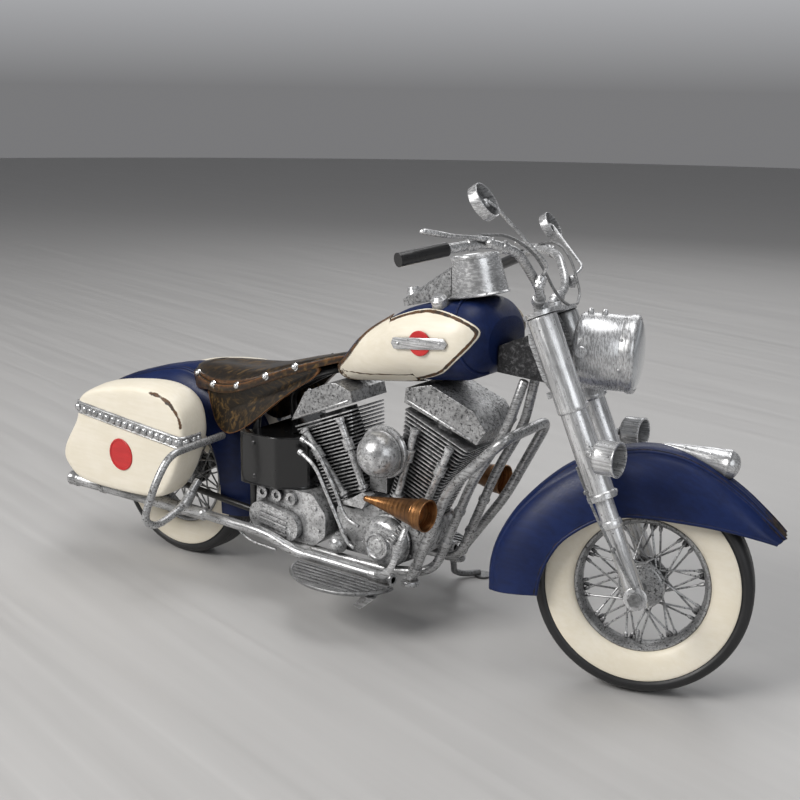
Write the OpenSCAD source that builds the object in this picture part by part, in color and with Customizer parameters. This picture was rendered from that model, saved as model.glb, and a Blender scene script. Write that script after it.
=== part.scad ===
// Tin cruiser motorcycle, a tabletop model.
// Every shape is drawn in the machine's own frame: x runs forward from the rear axle, y to the
// left, z up from the ground. place() then moves it so that the origin is under the middle.

/* [Wheels] */
// Outer radius of both tyres
wheel_r = 46; // [45:0.5:47]
// Distance between the two axles
wheelbase = 270; // [267:1:273]
// Half the width of a tyre
tyre_half_w = 9; // [8.5:0.5:9.5]
// Radius of the seam between tyre and rim
rim_r = 28.6; // [27.5:0.1:29]
// Spokes in each of the four rings of a wheel
spokes_per_ring = 10; // [8:1:12]

/* [Steering] */
// Lean of the steering head from the vertical
rake = 24; // [23:0.5:25]
// How far the front is turned to the left as the model stands
steer_angle = 19.5; // [-20:0.5:22]
// Steering axis behind the front axle, measured at axle height
trail_offset = 3.7; // [3:0.1:4]
// Half the distance between the two fork legs
fork_half = 26; // [25.5:0.5:28]
// Radius of the axles
axle_r = 2; // [1.9:0.1:2.2]

/* [Body] */
// Half the width of both fenders
fender_half_w = 16; // [15.5:0.5:16.5]
// Thickness of the fender sheet
sheet = 1.2; // [1:0.1:1.4]
// Height of the lower frame rails
rail_z = 27.5; // [27:0.5:28]
// Half the width of the engine castings
engine_half_w = 14; // [13:0.5:14]
// Inner side of a saddlebag
bag_in = 24; // [24:0.5:25]
// Outer side of a saddlebag
bag_out = 47; // [45:0.5:48]

/* [Fits] */
// Running clearance of a wheel or the steering stem on its shaft
run_gap = 0.05; // [0.03:0.01:0.08]
// Gap between neighbouring pieces that only sit side by side
gap = 0.2; // [0.15:0.05:0.25]

/* [Hidden] */
$fn = 48;

// The middle of the standing model's box, in the machine's own frame
box_mid = [126.5, -9];
rear_c = [0, 0, wheel_r];
// A turned front wheel leans, so its axle stands this much higher than a straight one's
steer_lift = 0.4;
front_c = [wheelbase, 0, wheel_r + steer_lift];
steer_foot = [wheelbase - trail_offset, 0, wheel_r + steer_lift];
steer_dir = [-sin(rake), 0, cos(rake)];
// Steering axis behind the plane of the fork legs, square to the axis
stem_back = trail_offset * cos(rake);
stem_r = 4;
leg_r = 6.4;
slider_r = 3.8;
head_z = 143;
tube_sides = 12;

silver = "#b9bcbf";
dark_silver = "#8a8c8e";
dull_iron = "#4a4b4d";
navy = "#14224a";
cream = "#efe9d8";
black = "#1b1b1d";
leather = "#3a2d1c";
brass = "#a8702c";

// ---------------------------------------------------------------- helpers

function unit(v) = v / norm(v);
function last(p) = p[len(p) - 1];

// A route with each inner corner rounded, starting r before the corner
function bend(p, r, n = 4) = [
  p[0],
  for (i = [1 : len(p) - 2], k = [0 : n])
    let (a = p[i] + r * unit(p[i - 1] - p[i]), b = p[i] + r * unit(p[i + 1] - p[i]), t = k / n)
    a * (1 - t) * (1 - t) + 2 * p[i] * t * (1 - t) + b * t * t,
  last(p)
];

function tangent(p, i) = unit(p[min(i + 1, len(p) - 1)] - p[max(i - 1, 0)]);
function first_normal(t) = unit(cross(t, abs(t[2]) < 0.9 ? [0, 0, 1] : [1, 0, 0]));
function square_to(n, t) = unit(n - (n * t) * t);
// One normal for each route point, carried along so that the tube never twists
function normals(p, i = 0, n = undef) =
  i == len(p) ? [] :
  let (t = tangent(p, i), m = is_undef(n) ? first_normal(t) : square_to(n, t))
  concat([m], normals(p, i + 1, m));
function radius_at(r, i) = is_list(r) ? r[i] : r;

// A solid skin through a row of closed rings that all have the same number of points. The two ends
// are closed flat, or across from one edge to the other where the ring is a thin arch.
module loft(rings, arched = false) {
  n = len(rings[0]);
  end = (len(rings) - 1) * n;
  skin = [
    for (i = [0 : n : end - n], k = [0 : n - 1]) let (j = (k + 1) % n)
      each [[i + j, i + k, i + n + k], [i + j, i + n + k, i + n + j]]
  ];
  flat_caps = [[for (k = [0 : n - 1]) k], [for (k = [n - 1 : -1 : 0]) end + k]];
  arch_caps = [
    for (k = [0 : n / 2 - 2])
      each [[k, k + 1, n - 2 - k, n - 1 - k],
            [end + n - 1 - k, end + n - 2 - k, end + k + 1, end + k]]
  ];
  polyhedron([for (r = rings) each r], concat(skin, arched ? arch_caps : flat_caps), convexity = 8);
}

// A smooth row of points (or of longer lists) through the given ones
function spline(p, n = 3) = concat(
  [
    for (i = [0 : len(p) - 2], k = [0 : n - 1])
      let (a = p[max(i - 1, 0)], b = p[i], c = p[i + 1], d = p[min(i + 2, len(p) - 1)], t = k / n)
      0.5 * (2 * b + (c - a) * t + (2 * a - 5 * b + 4 * c - d) * t * t
             + (3 * b - a - 3 * c + d) * t * t * t)
  ],
  [last(p)]
);

// A round tube swept along a route; r is one radius or a list of one for each point
module tube(p, r, sides = tube_sides) {
  n = normals(p);
  loft([
    for (i = [0 : len(p) - 1])
      let (b = cross(tangent(p, i), n[i]))
      [for (k = [0 : sides - 1]) let (a = 360 * k / sides)
        p[i] + radius_at(r, i) * (cos(a) * n[i] + sin(a) * b)]
  ]);
}

// A straight round bar between two points
module rod(a, b, r, r2 = undef) {
  v = b - a;
  translate(a) rotate([0, acos(v[2] / norm(v)), atan2(v[1], v[0])])
    cylinder(h = norm(v), r1 = r, r2 = is_undef(r2) ? r : r2);
}

// A disc or drum from y0 to y1, round about the sideways axis through [x, z]
module drum(x, z, r, y0, y1) {
  translate([x, y0, z]) rotate([-90, 0, 0]) cylinder(h = y1 - y0, r = r);
}

// A side-view outline of [x, z] points, as thick as y0 to y1
module side_plate(points, y0, y1) {
  translate([0, y1, 0]) rotate([90, 0, 0]) linear_extrude(y1 - y0) polygon(points);
}

// The same with rounded corners
module soft_plate(points, y0, y1, r) {
  translate([0, y1, 0]) rotate([90, 0, 0]) linear_extrude(y1 - y0)
    offset(r, $fn = 24) offset(delta = -r) polygon(points);
}

module both_sides() {
  children();
  mirror([0, 1, 0]) children();
}

// From the machine's own frame to the frame of the part
module place() {
  translate([-box_mid[0], -box_mid[1], 0]) children();
}

// The steered front, drawn straight ahead and then turned about the steering axis
module steered() {
  place() translate(steer_foot) rotate(steer_angle, steer_dir) translate(-steer_foot) children();
}

// The fork's own frame inside steered(): origin at the axle, z up the legs, x square to them
module along_fork() {
  translate(front_c) rotate([0, -rake, 0]) children();
}

// ---------------------------------------------------------------- wheels

bead_half_w = 5.2;
hub_r = 4.5;
hub_half_w = 9;
flange_r = 7.5;
spoke_r = 0.45;
rim_well_r = rim_r - 2.8;

// Half a tyre section from bead to tread, as [radius, side] points
tyre_side = [
  [rim_r, bead_half_w], [rim_r + 1.2, tyre_half_w - 2.4], [rim_r + 4, tyre_half_w - 1.1],
  [rim_r + 8, tyre_half_w - 0.5], [wheel_r - 5.5, tyre_half_w - 0.3], [wheel_r - 3.4, tyre_half_w],
  [wheel_r - 1.6, tyre_half_w - 0.7], [wheel_r - 0.5, tyre_half_w - 1.8], [wheel_r, tyre_half_w - 3.4]
];

module wheel_spin(c) {
  translate(c) rotate([-90, 0, 0]) children();
}

module tyre(c) {
  other_side = [for (i = [len(tyre_side) - 1 : -1 : 0]) [tyre_side[i][0], -tyre_side[i][1]]];
  wheel_spin(c) rotate_extrude($fn = 96) polygon(concat(tyre_side, other_side));
}

module rim(c) {
  wheel_spin(c) difference() {
    union() {
      rotate_extrude($fn = 96) polygon([
        [rim_r - 0.1, -bead_half_w - 0.6], [rim_r - 0.1, bead_half_w + 0.6],
        [rim_r - 1.4, bead_half_w + 0.6], [rim_r - 1.8, bead_half_w - 1],
        [rim_well_r, 2], [rim_well_r, -2],
        [rim_r - 1.8, -bead_half_w + 1], [rim_r - 1.4, -bead_half_w - 0.6]
      ]);
      cylinder(h = 2 * hub_half_w, r = hub_r, center = true);
      for (s = [-1, 1]) translate([0, 0, s * 5]) cylinder(h = 1.6, r = flange_r, center = true);
      for (s = [-1, 1]) translate([0, 0, s * 6.6]) cylinder(h = 1.8, r = 9.8, center = true);
      for (s = [-1, 1]) translate([0, 0, s * 7.9]) cylinder(h = 1.2, r = 7.6, center = true);
    }
    cylinder(h = 4 * hub_half_w, r = axle_r + run_gap, center = true);
  }
}

// Crossed wire spokes: on each side one ring leans forward and one back
module spokes(c) {
  step = 360 / spokes_per_ring;
  lean = 52;
  r0 = flange_r - 0.4;
  r1 = rim_well_r + 0.1;
  wheel_spin(c) for (side = [-1, 1], dir = [-1, 1], i = [0 : spokes_per_ring - 1]) {
    a = step * i + (side > 0 ? step / 4 : 0);
    hub_y = side * (dir > 0 ? 5.9 : 3.6);
    rim_y = side * (dir > 0 ? 1.6 : -0.4);
    rod([r0 * cos(a), r0 * sin(a), hub_y],
        [r1 * cos(a + dir * lean), r1 * sin(a + dir * lean), rim_y], spoke_r, $fn = 8);
  }
}

module rear_rim() color(silver) place() rim(rear_c);
module rear_spokes() color(silver) place() spokes(rear_c);
module rear_tyre() color(black) place() tyre(rear_c);
module front_rim() color(silver) steered() rim(front_c);
module front_spokes() color(silver) steered() spokes(front_c);
module front_tyre() color(black) steered() tyre(front_c);

module axle_bar(c, half) {
  wheel_spin(c) {
    cylinder(h = 2 * half, r = axle_r, center = true);
    for (s = [-1, 1]) translate([0, 0, s * (half + 0.9)]) cylinder(h = 2, r = 3.2, $fn = 6, center = true);
  }
}

stay_y = 18.6;
module rear_axle() color(dark_silver) place() axle_bar(rear_c, stay_y + 3.2);
module front_axle() color(dark_silver) steered() axle_bar(front_c, fork_half + slider_r + 1.2);

// ---------------------------------------------------------------- fenders

// A fender is a row of stations [crown x, crown z, edge x, edge z, share of the full half width],
// from the rear over the top to the front, with x measured from its axle. Each station is one
// arched cross-section.
function arch(st, grow, angles) =
  let (crown = [st[0], st[1]], edge = [st[2], st[3]], out = unit(crown - edge))
  [
    for (a = angles)
      let (up = pow(sin(a), 0.85), side = sign(cos(a)) * pow(abs(cos(a)), 0.7),
           p = edge + (crown + grow * out - edge) * up)
      [p[0], (st[4] * fender_half_w + grow) * side, p[1]]
  ];
arch_step = 15;
arch_over = [0 : arch_step : 180];
arch_back = [180 : -arch_step : 0];

module fender(stations) {
  loft([for (st = spline(stations)) concat(arch(st, 0, arch_over), arch(st, -sheet, arch_back))],
       arched = true);
}

// The room a fender takes, filled in, for cutting its neighbours clear of it
module fender_room(stations, clear) {
  loft([for (st = spline(stations)) arch(st, clear, arch_over)]);
}

rear_fender_line = [
  [-71, 55, -57, 47, 0.7], [-66, 67, -50, 52, 0.9], [-56, 82, -44, 60, 1], [-42, 92.3, -37, 70, 1],
  [-20, 100, -24, 80, 1], [-4, 104, -11, 85.5, 1], [11, 105.6, 3, 87, 1], [29, 99.5, 15, 84.5, 1],
  [46, 85, 26, 77, 1], [57, 66, 34, 67, 1], [60, 50, 38.5, 52, 1], [57.5, 32.5, 40, 32.5, 1]
];

module rear_fender() color(navy) place() fender(rear_fender_line);

front_fender_line = [
  [-65.7, 35, -43, 37.5, 1], [-66, 48, -42, 46.5, 1], [-62.5, 61, -38.5, 56, 1], [-54, 75.5, -33, 64, 1],
  [-39, 91, -22, 72.5, 1], [-22, 101, -12.5, 76, 1], [-5, 105.6, -2, 77.5, 1], [10, 104.8, 11, 77.5, 1],
  [23, 99.6, 25, 77, 1], [37, 90.6, 36, 76, 1], [48, 81, 45, 74.6, 0.95], [55, 74.2, 52.5, 72.8, 0.8]
];

module front_fender() color(navy) steered() translate([wheelbase, 0, 0]) fender(front_fender_line);

// ---------------------------------------------------------------- frame

backbone = [[199, 0, 137.5], [106, 0, 117.3]];
post_x = 63.8;

module frame() color(black) place() {
  rod(backbone[0], backbone[1], 2.5);
  both_sides() {
    tube(bend([[106, 1, 117], [97, 5, 114.2], [post_x, 13, 97], [post_x, 17.5, 60],
               [post_x, 17.5, rail_z]], 6), 2);
    tube(bend([[post_x, 17.5, rail_z + 1], [120, 17.5, rail_z], [150, 16, rail_z],
               [170, 10.5, 30], [190, 10.5, 79], [205, 8, 104], [211.5, 5, 127.5]], 8), 2.2);
    tube([[post_x, 17.5, 40], [42, 18.6, 42], [-3, stay_y, wheel_r]], 1.7);
    drum(0, wheel_r, 4.2, stay_y - 1.5, stay_y + 1.5);
  }
}

// The casting grips the stem from behind, and its short head tube goes all the way round
module neck_casting() color(dull_iron) place() difference() {
  union() {
    difference() {
      side_plate([[199.5, 130], [200.5, 153], [212, 158.5], [221, 150], [230, 134], [226, 128.6]], -8.5, 8.5);
      along_fork() translate([-stem_back - 1.4, -20, 60]) cube([80, 40, 80]);
    }
    along_fork() translate([-stem_back, 0, 101]) cylinder(h = 14.4, r = 5.4);
  }
  along_fork() translate([-stem_back, 0, 80]) cylinder(h = 50, r = stem_r + run_gap);
  along_fork() translate([-stem_back - 40, -20, 60]) cube([80, 40, 31.4]);
  along_fork() translate([-stem_back - 40, -20, 115.6]) cube([80, 40, 30]);
}

// ---------------------------------------------------------------- engine

crank = [145, 42];

module crankcase() color(silver) place() {
  soft_plate([[120, 30.6], [152, 30.6], [164, 37], [167, 44], [166, 53], [152, 54.5], [138, 58], [125, 52.5],
              [114.5, 52.5], [116, 40]], -engine_half_w, engine_half_w, 2);
}

module cam_cover() color(silver) place() {
  drum(crank[0] + 2, crank[1], 12.2, -engine_half_w - 8.2, -engine_half_w - gap);
  drum(crank[0] - 0.5, crank[1] - 0.5, 6.6, -engine_half_w - 11, -engine_half_w - 8.2);
}

module primary_cover() color(silver) place() {
  soft_plate([[66, 37], [76, 30], [150, 30], [161, 43], [152, 55], [78, 55]],
             engine_half_w + gap, engine_half_w + 9, 6);
}

module filter_ball() color(silver) place() translate([119.5, -engine_half_w - 5, 35]) sphere(4.7);

module gearbox_case() color(silver) place() {
  soft_plate([[66.5, 30.5], [105, 30.5], [112, 37], [112, 48], [104, 57], [68, 57]],
             -engine_half_w - 5.8, engine_half_w, 4);
}

module gearbox_cover() color(silver) place() {
  y = -engine_half_w - 5.8 - gap;
  ribs = 5;
  translate([82, 0, 39.5]) rotate([0, 8, 0]) {
    hull() for (s = [-1, 1]) drum(s * 8.5, 0, 7.4, y - 4, y, $fn = 32);
    for (i = [0 : ribs - 1]) translate([-9, y - 4.8, -5 + 2.5 * i - 0.5]) cube([18, 1, 1]);
  }
}

module ring_bolts() color(silver) place() {
  y = -engine_half_w - 5.8 - gap;
  for (i = [0 : 2]) translate([73 + 9.3 * i, y, 52.6]) rotate([90, 0, 0]) difference() {
    cylinder(h = 1.8, r = 3.1);
    translate([0, 0, 0.8]) cylinder(h = 2, r = 1.5);
  }
}

module oil_tank() color(black) place() difference() {
  translate([0, 0, 57.5]) linear_extrude(26) offset(4, $fn = 24) polygon([
    [65, -22.5], [84, -22], [94, -13], [94, 13], [84, 22], [65, 22.5]
  ]);
  translate([55, -20.2, 50]) cube([11.2, 40.4, 40]);
  translate([86.6, -14.3, 50]) cube([20, 28.6, 40]);
}

// Two oil lines beside the engine and the rod of the rear brake below it
module wire_lines() color(dark_silver) place() {
  tube(bend([[99, -20.3, 84], [107, -20.3, 81], [119, -20.3, 62], [124, -20.3, 50],
             [133, -20.3, 47]], 5), 0.9, 8);
  tube(bend([[99, -22.3, 78], [108, -22.3, 73], [121, -22.3, 50], [127.5, -22.3, 38],
             [132, -22.3, 36.5]], 5), 0.9, 8);
  tube(bend([[50, -24, 35.5], [66, -24, 25.8], [84, -24, 25]], 5), 0.7, 8);
}

// A finned barrel and head on a leaning axis: base and top are [x, z]
module finned_cylinder(base, top) {
  v = top - base;
  h = norm(v);
  fins = 16;
  translate([base[0], 0, base[1]]) rotate([0, atan2(v[0], v[1]), 0]) {
    cylinder(h = h, r = 9);
    for (i = [0 : fins - 1]) {
      t = i / (fins - 1);
      w = t < 0.55 ? 22 + 8 * t : 26.4 + 26 * (t - 0.55);
      translate([-w / 2, -engine_half_w + 1.5 * (1 - t), 2 + (h - 4) * t])
        cube([w, 2 * engine_half_w - 3 * (1 - t), 1.3]);
    }
  }
}

module cylinder_rear() color(silver) place() finned_cylinder([121, 55], [104.6, 96]);
module cylinder_front() color(silver) place() finned_cylinder([153.6, 56.5], [172.2, 101.4]);

module rocker_box_rear() color(silver) place() {
  side_plate([[85.5, 90], [94.5, 106], [109, 112.5], [113.5, 113.2], [122.5, 110.5], [124, 105]],
             -engine_half_w, engine_half_w);
}

module rocker_box_front() color(silver) place() {
  side_plate([[153.8, 110], [154.5, 117], [168.5, 120.5], [191, 112], [198, 103.5], [193.4, 96.6]],
             -engine_half_w, engine_half_w);
}

// Pushrod tubes with a collar near the top and a tappet block at the foot
module pushrod_tubes() color(silver) place() {
  y = -engine_half_w - 2.6;
  for (p = [[[96.5, 88], [122.5, 58.5]], [[118.5, 97], [133.5, 64]],
            [[162, 99], [152.5, 64]], [[181, 93.5], [168, 63]]]) {
    a = [p[0][0], y, p[0][1]];
    b = [p[1][0], y, p[1][1]];
    rod(a, b, 1.7);
    rod(a + 0.28 * (b - a), a + 0.42 * (b - a), 2.5);
  }
  side_plate([[119, 55.8], [128, 60], [134, 64], [138, 63], [134, 55.8]], y - 2.4, y + 2.4);
  side_plate([[150, 55.8], [150.5, 64], [169, 64], [171, 60], [161, 55.8]], y - 2.4, y + 2.4);
}

module carburettor() color(dark_silver) place() {
  drum(140, 82, 5, -engine_half_w + 1, engine_half_w - 3);
  translate([134, -engine_half_w + 1, 64]) cube([10, 9, 14]);
}

module air_cleaner() color(silver) place() {
  y = -engine_half_w - 5;
  drum(147.5, 87, 12.6, y - 2.5, y);
  drum(147.5, 86.5, 10.8, y - 5.5, y - 2.5);
  drum(143, 85.5, 4, y, -engine_half_w + 1 - gap);
  intersection() {
    translate([147.5, y - 4, 86.5]) sphere(11.2);
    translate([130, y - 30, 70]) cube([35, 24.6, 35]);
  }
}

// A pair of tapered horns, one on each side of the front down tubes
module horns() color(brass) place() both_sides() {
  length = 35;
  translate([146, -33, 67.5]) rotate([0, 90, 2]) rotate_extrude() polygon([
    [0, 0], [1.4, 0], [6.5, length * 0.84], [7.1, length * 0.86], [7.3, length], [6.5, length],
    [5.7, length * 0.84], [0, length * 0.4]
  ]);
  rod([160, -31, 67], [160, -20.2, 66], 1);
}

// ---------------------------------------------------------------- tubes outside the engine

module engine_guard() color(silver) place() {
  right = [[163, -19.5, 27], [183, -19.5, 76], [210.4, -19, 103]];
  left = [[211.4, 19, 104.5], [190, 19.5, 64], [163, 19.5, 27]];
  tube(bend(concat(right, left), 7), 2.4);
  both_sides() translate([163, -20, 25]) cylinder(h = 2.2, r = 4.2);
}

pipe_y = 26.5;
pipe_z = 28;
module exhaust() {
  tube(bend([[158, -pipe_y, pipe_z], [98, -pipe_y, pipe_z], [83, -29, 34.6], [41, -31, 36.6]], 6), 2.6);
  rod([158, -pipe_y, pipe_z], [145, -pipe_y, pipe_z], 3.1);
  tube([[42, -31, 36.6], [-46, -37, 39.2], [-47, -37, 39.2], [-53, -37.2, 39.4]], [3.3, 3.3, 3.9, 3.9], 16);
}

module exhaust_right() color(dark_silver) place() exhaust();
module exhaust_left() color(dark_silver) place() mirror([0, 1, 0]) exhaust();

// A ribbed half-oval board on a bracket from the frame rail
board_top = 26;
board_half = [28, 21];
board_in = 30;
module footboard(bracket_x) {
  ribs = 6;
  thick = 1.6;
  translate([132, -board_in, board_top - thick]) {
    intersection() {
      scale([board_half[0] / board_half[1], 1, 1]) cylinder(h = thick, r = board_half[1]);
      translate([-40, -40, 0]) cube([80, 40, thick]);
    }
    for (i = [0 : ribs - 1])
      let (y = 1.8 + 3 * i, half = board_half[0] * sqrt(1 - pow((y + 0.8) / board_half[1], 2)) - 1)
      translate([-half, -y - 0.5, thick]) cube([2 * half, 1, 0.7]);
  }
  under = board_top - thick - gap;
  translate([bracket_x, 0, 0]) {
    side_plate([[0, under], [-5, 18.5], [-1, 17.5], [7, under]], -43, -40);
    rod([0, -40.5, 20.5], [0, -20.2, 23.6], 1.4);
  }
}

module footboard_right() color(dark_silver) place() footboard(152);
module footboard_left() color(dark_silver) place() mirror([0, 1, 0]) footboard(116);

module brake_pedal() color(silver) place() {
  tube(bend([[166, -26.4, 58.5], [164.5, -31, 49], [163, -34, 39], [159, -34, 33], [152.5, -32.6, 30.6]], 4),
       1.7, 12);
}

// A tension spring from the cam cover to the pedal
module pedal_spring() color(silver) place() {
  turns = 9;
  per_turn = 8;
  a = [157.4, -29.5, 46.8];
  b = [165.2, -22.8, 58.3];
  v = unit(b - a);
  n = first_normal(v);
  m = cross(v, n);
  tube([for (i = [0 : turns * per_turn]) let (t = i / (turns * per_turn), w = 360 * i / per_turn)
        a + (b - a) * t + 2 * (cos(w) * n + sin(w) * m)], 0.5, 6);
}

module bag_guards() color(silver) place() both_sides() {
  tube(bend([[47, -21.2, 77.5], [46.5, -44, 76.5], [46, -58, 75.5], [44.5, -66, 64], [42, -73, 45],
             [43, -66, 40], [45, -50, 46], [44, -37, 57]], 5), 1.9);
  rod([45.2, -49, 46.8], [44.5, -43, 51.8], 2.6);
}

// ---------------------------------------------------------------- tank and seat

// A smooth egg-shaped body from balls given as [x, y, z, radius], the same on both sides
module blend_balls(balls) {
  hull() both_sides() for (b = balls) translate([b[0], b[1], b[2]]) sphere(b[3], $fn = 32);
}

tank_balls = [
  [114, 2, 119.5, 5.5], [133, 8.5, 129, 11], [160, 10, 139, 16], [186, 8, 142.5, 18], [195, 3, 143, 14]
];
// Everything under the tank's floor line
module below_tank() {
  side_plate([
    [100, 80], [100, 112.8], [120, 113.9], [152, 117.8], [168, 121], [185, 124], [195, 128],
    [199, 132], [212, 140], [212, 80]
  ], -40, 40);
}

module fuel_tank() color(navy) place() difference() {
  blend_balls(tank_balls);
  rod(backbone[0] + [10, 0, 2.2], backbone[1] - [10, 0, 2.2], 2.5 + gap);
  below_tank();
  translate([198.9, -20, 120]) cube([30, 40, 40]);
}

// Raised teardrop on each side of the tank
module tank_panels() color(cream) place() difference() {
  intersection() {
    blend_balls([for (b = tank_balls) [b[0], b[1], b[2], b[3] + 1]]);
    both_sides() soft_plate([
      [113.5, 114.6], [111.5, 118.5], [119, 124], [128, 131], [137, 141], [152, 150], [169, 155.3],
      [187, 154.6], [196, 149.5], [194, 142.5], [186, 134], [176, 127.6], [154, 120.5], [130, 116.6]
    ], -40, -2, 1.5);
  }
  blend_balls(tank_balls);
  below_tank();
}

module tank_badges() color("#a3161c") place() both_sides() {
  drum(171, 142, 5.6, -27.9, -27.1);
  translate([171, -28.3, 142]) rotate([0, -6, 0]) translate([-14, -0.4, -2.5]) cube([28, 0.8, 5]);
}

module console() color(dark_silver) place() difference() {
  hull() for (p = [[148, 154.6, 4], [158, 159.5, 7], [173, 161.5, 9], [177, 172.5, 7.5]])
    translate([p[0], 0, p[1]]) rotate([0, -14, 0]) cylinder(h = 3.2, r = p[2], center = true, $fn = 32);
  blend_balls([for (b = tank_balls) [b[0], b[1], b[2], b[3] + gap]]);
  pod(gap);
}

module pod(grow) {
  translate([184.5, 0, 161.6]) rotate([0, -10, 0]) translate([0, 0, -grow])
    cylinder(h = 18 + grow, r1 = 13.2 + grow, r2 = 10.6 + grow);
}

module speedo_pod() color(silver) place() pod(0);

module filler_caps() color(silver) place() {
  both_sides() translate([173.5, -14, 155.8]) rotate([20, -6, 0]) {
    cylinder(h = 5, r = 3.8);
    translate([0, 0, 5]) cylinder(h = 1.4, r1 = 3.8, r2 = 2.4);
  }
  translate([149, 0, 158]) rotate([0, -14, 0]) cylinder(h = 3.4, r1 = 3.6, r2 = 2.6);
}

// Seat stations from the rear to the nose: [x, half width, underside, rim, top]
saddle_line = [
  [13, 3, 101.6, 104.2, 107], [16, 8.5, 101.2, 104, 108.6], [22, 12.5, 100.6, 103.8, 110.2],
  [30, 16.5, 99.6, 103, 111.2], [40, 19.8, 99.3, 102.8, 111.8], [52, 21.4, 100.6, 104, 112.4],
  [64, 21.2, 104.2, 107.4, 113.6], [76, 18.8, 109.2, 112.4, 116.6], [88, 14.6, 114, 117, 120],
  [100, 9.6, 118.4, 121, 123], [108, 6.5, 121, 123.4, 125.2], [113, 4.5, 122.4, 124.6, 126.2]
];
skirt_thick = 2.6;

function saddle_ring(st) =
  let (x = st[0], w = st[1], rim = st[3], rise = st[4] - st[3])
  [
    [x, w, st[2]], [x, w, rim], [x, 0.93 * w, rim + 0.35 * rise], [x, 0.72 * w, rim + 0.72 * rise],
    [x, 0.4 * w, rim + 0.93 * rise], [x, -0.4 * w, rim + 0.93 * rise],
    [x, -0.72 * w, rim + 0.72 * rise], [x, -0.93 * w, rim + 0.35 * rise], [x, -w, rim], [x, -w, st[2]]
  ];

module saddle_skirt() {
  line = spline(saddle_line);
  outer = [for (st = line) [st[0], min(0.6 - st[1], 0)]];
  inner = [for (i = [len(line) - 1 : -1 : 0]) [line[i][0], min(-line[i][1] + skirt_thick, 0)]];
  both_sides() intersection() {
    translate([0, 0, 70]) linear_extrude(60) polygon(concat(outer, inner));
    side_plate([
      [32, 100], [34.5, 92], [39.5, 82], [47.5, 78.2], [57, 81], [66, 87], [76, 95.5], [88, 105.5],
      [98, 113.5], [98, 118.5], [88, 115], [76, 110.5], [64, 105.5], [52, 102], [40, 100.5]
    ], -24, 24);
  }
}

module saddle() color(leather) place() difference() {
  union() {
    loft([for (st = spline(saddle_line)) saddle_ring(st)]);
    saddle_skirt();
  }
  fender_room(rear_fender_line, gap);
  blend_balls([for (b = tank_balls) [b[0], b[1], b[2], b[3] + gap]]);
}

module saddle_studs() color("#dcdcd8") place() both_sides() {
  for (p = [[22.2, 12.4, 105], [40.3, 20.2, 103], [57.9, 21.5, 105.1], [74.8, 19.3, 112], [89.4, 14.2, 117.9]])
    translate([p[0], -p[1] - 1, p[2]]) sphere(1.6, $fn = 24);
}

// ---------------------------------------------------------------- saddlebags

bag_outline = [
  [-29, 43.6], [-44, 50], [-47, 60], [-36, 78], [-33, 90], [-23, 98.6], [4, 104], [26, 104.3],
  [38.5, 97.5], [43, 84], [40.5, 70], [31, 52], [18, 44.8]
];
// Slices of the bag from its inner side outward: [from, to, how far the outline draws in]
bag_slices = [
  [0, 1.6, 6.5], [1.6, 4, 3.6], [4, 7.5, 1.4], [7.5, 18.5, 0], [18.5, 20.6, 0.9], [20.6, 22, 2.4],
  [22, 23, 4.6]
];

module saddlebag() {
  translate([0, -bag_in, 0]) rotate([90, 0, 0]) for (s = bag_slices)
    translate([0, 0, s[0]]) linear_extrude(s[1] - s[0])
      offset(4, $fn = 24) offset(delta = -4 - s[2]) polygon(bag_outline);
}

module saddlebag_right() color(cream) place() saddlebag();
module saddlebag_left() color(cream) place() mirror([0, 1, 0]) saddlebag();

// A strap with a row of round studs across each bag, wrapped round both of its corners
module bag_straps() color(dark_silver) place() both_sides() {
  studs = 17;
  y = -bag_out - gap;
  difference() {
    translate([4.5, y, 79.2]) rotate([0, 5.4, 0]) linear_extrude(6) difference() {
      offset(5, $fn = 24) translate([-36, 4.2]) square([70, 30]);
      offset(4.2, $fn = 24) translate([-36, 4.2]) square([70, 30]);
    }
    translate([-60, y + 12, 60]) cube([130, 60, 50]);
  }
  difference() {
    for (i = [0 : studs - 1]) let (t = i / (studs - 1))
      translate([-30 + 69 * t, y - 0.6, 85.9 - 6.6 * t]) sphere(1.9, $fn = 16);
    translate([-60, y - 0.1, 60]) cube([130, 12, 50]);
  }
}

// ---------------------------------------------------------------- fork and front

module fork_stem() color(dark_silver) steered() along_fork() {
  translate([-stem_back, 0, 89]) cylinder(h = 34, r = stem_r);
  difference() {
    translate([-8.4, -fork_half, 87.6]) cube([5.6, 2 * fork_half, 2.6]);
    for (s = [-1, 1]) translate([0, s * fork_half, 80]) cylinder(h = 20, r = leg_r + 0.1);
  }
  translate([-7.5, -fork_half, 121]) cube([14, 2 * fork_half, 2]);
  for (s = [-1, 1]) translate([0, s * fork_half, 121]) cylinder(h = 2, r = leg_r);
  for (s = [-1, 1]) translate([-1, s * 16, 122.6]) cylinder(h = 3.4, r = 3.2);
}

module fork_legs() color(silver) steered() along_fork() {
  for (s = [-1, 1]) translate([0, s * fork_half, 0]) difference() {
    union() {
      translate([0, 0, 80]) cylinder(h = 40.9, r = leg_r);
      translate([0, 0, 45]) cylinder(h = 35, r = leg_r - 0.8);
      translate([0, 0, 42]) cylinder(h = 3, r = leg_r);
      translate([0, 0, 30.5]) cylinder(h = 2.4, r = slider_r + 0.7);
      translate([0, 0, -5]) cylinder(h = 47, r = slider_r);
    }
    rotate([90, 0, 0]) cylinder(h = 20, r = axle_r + run_gap, center = true);
  }
}

light_r = 16.2;
light_from = 233;
light_to = 254.7;

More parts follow.
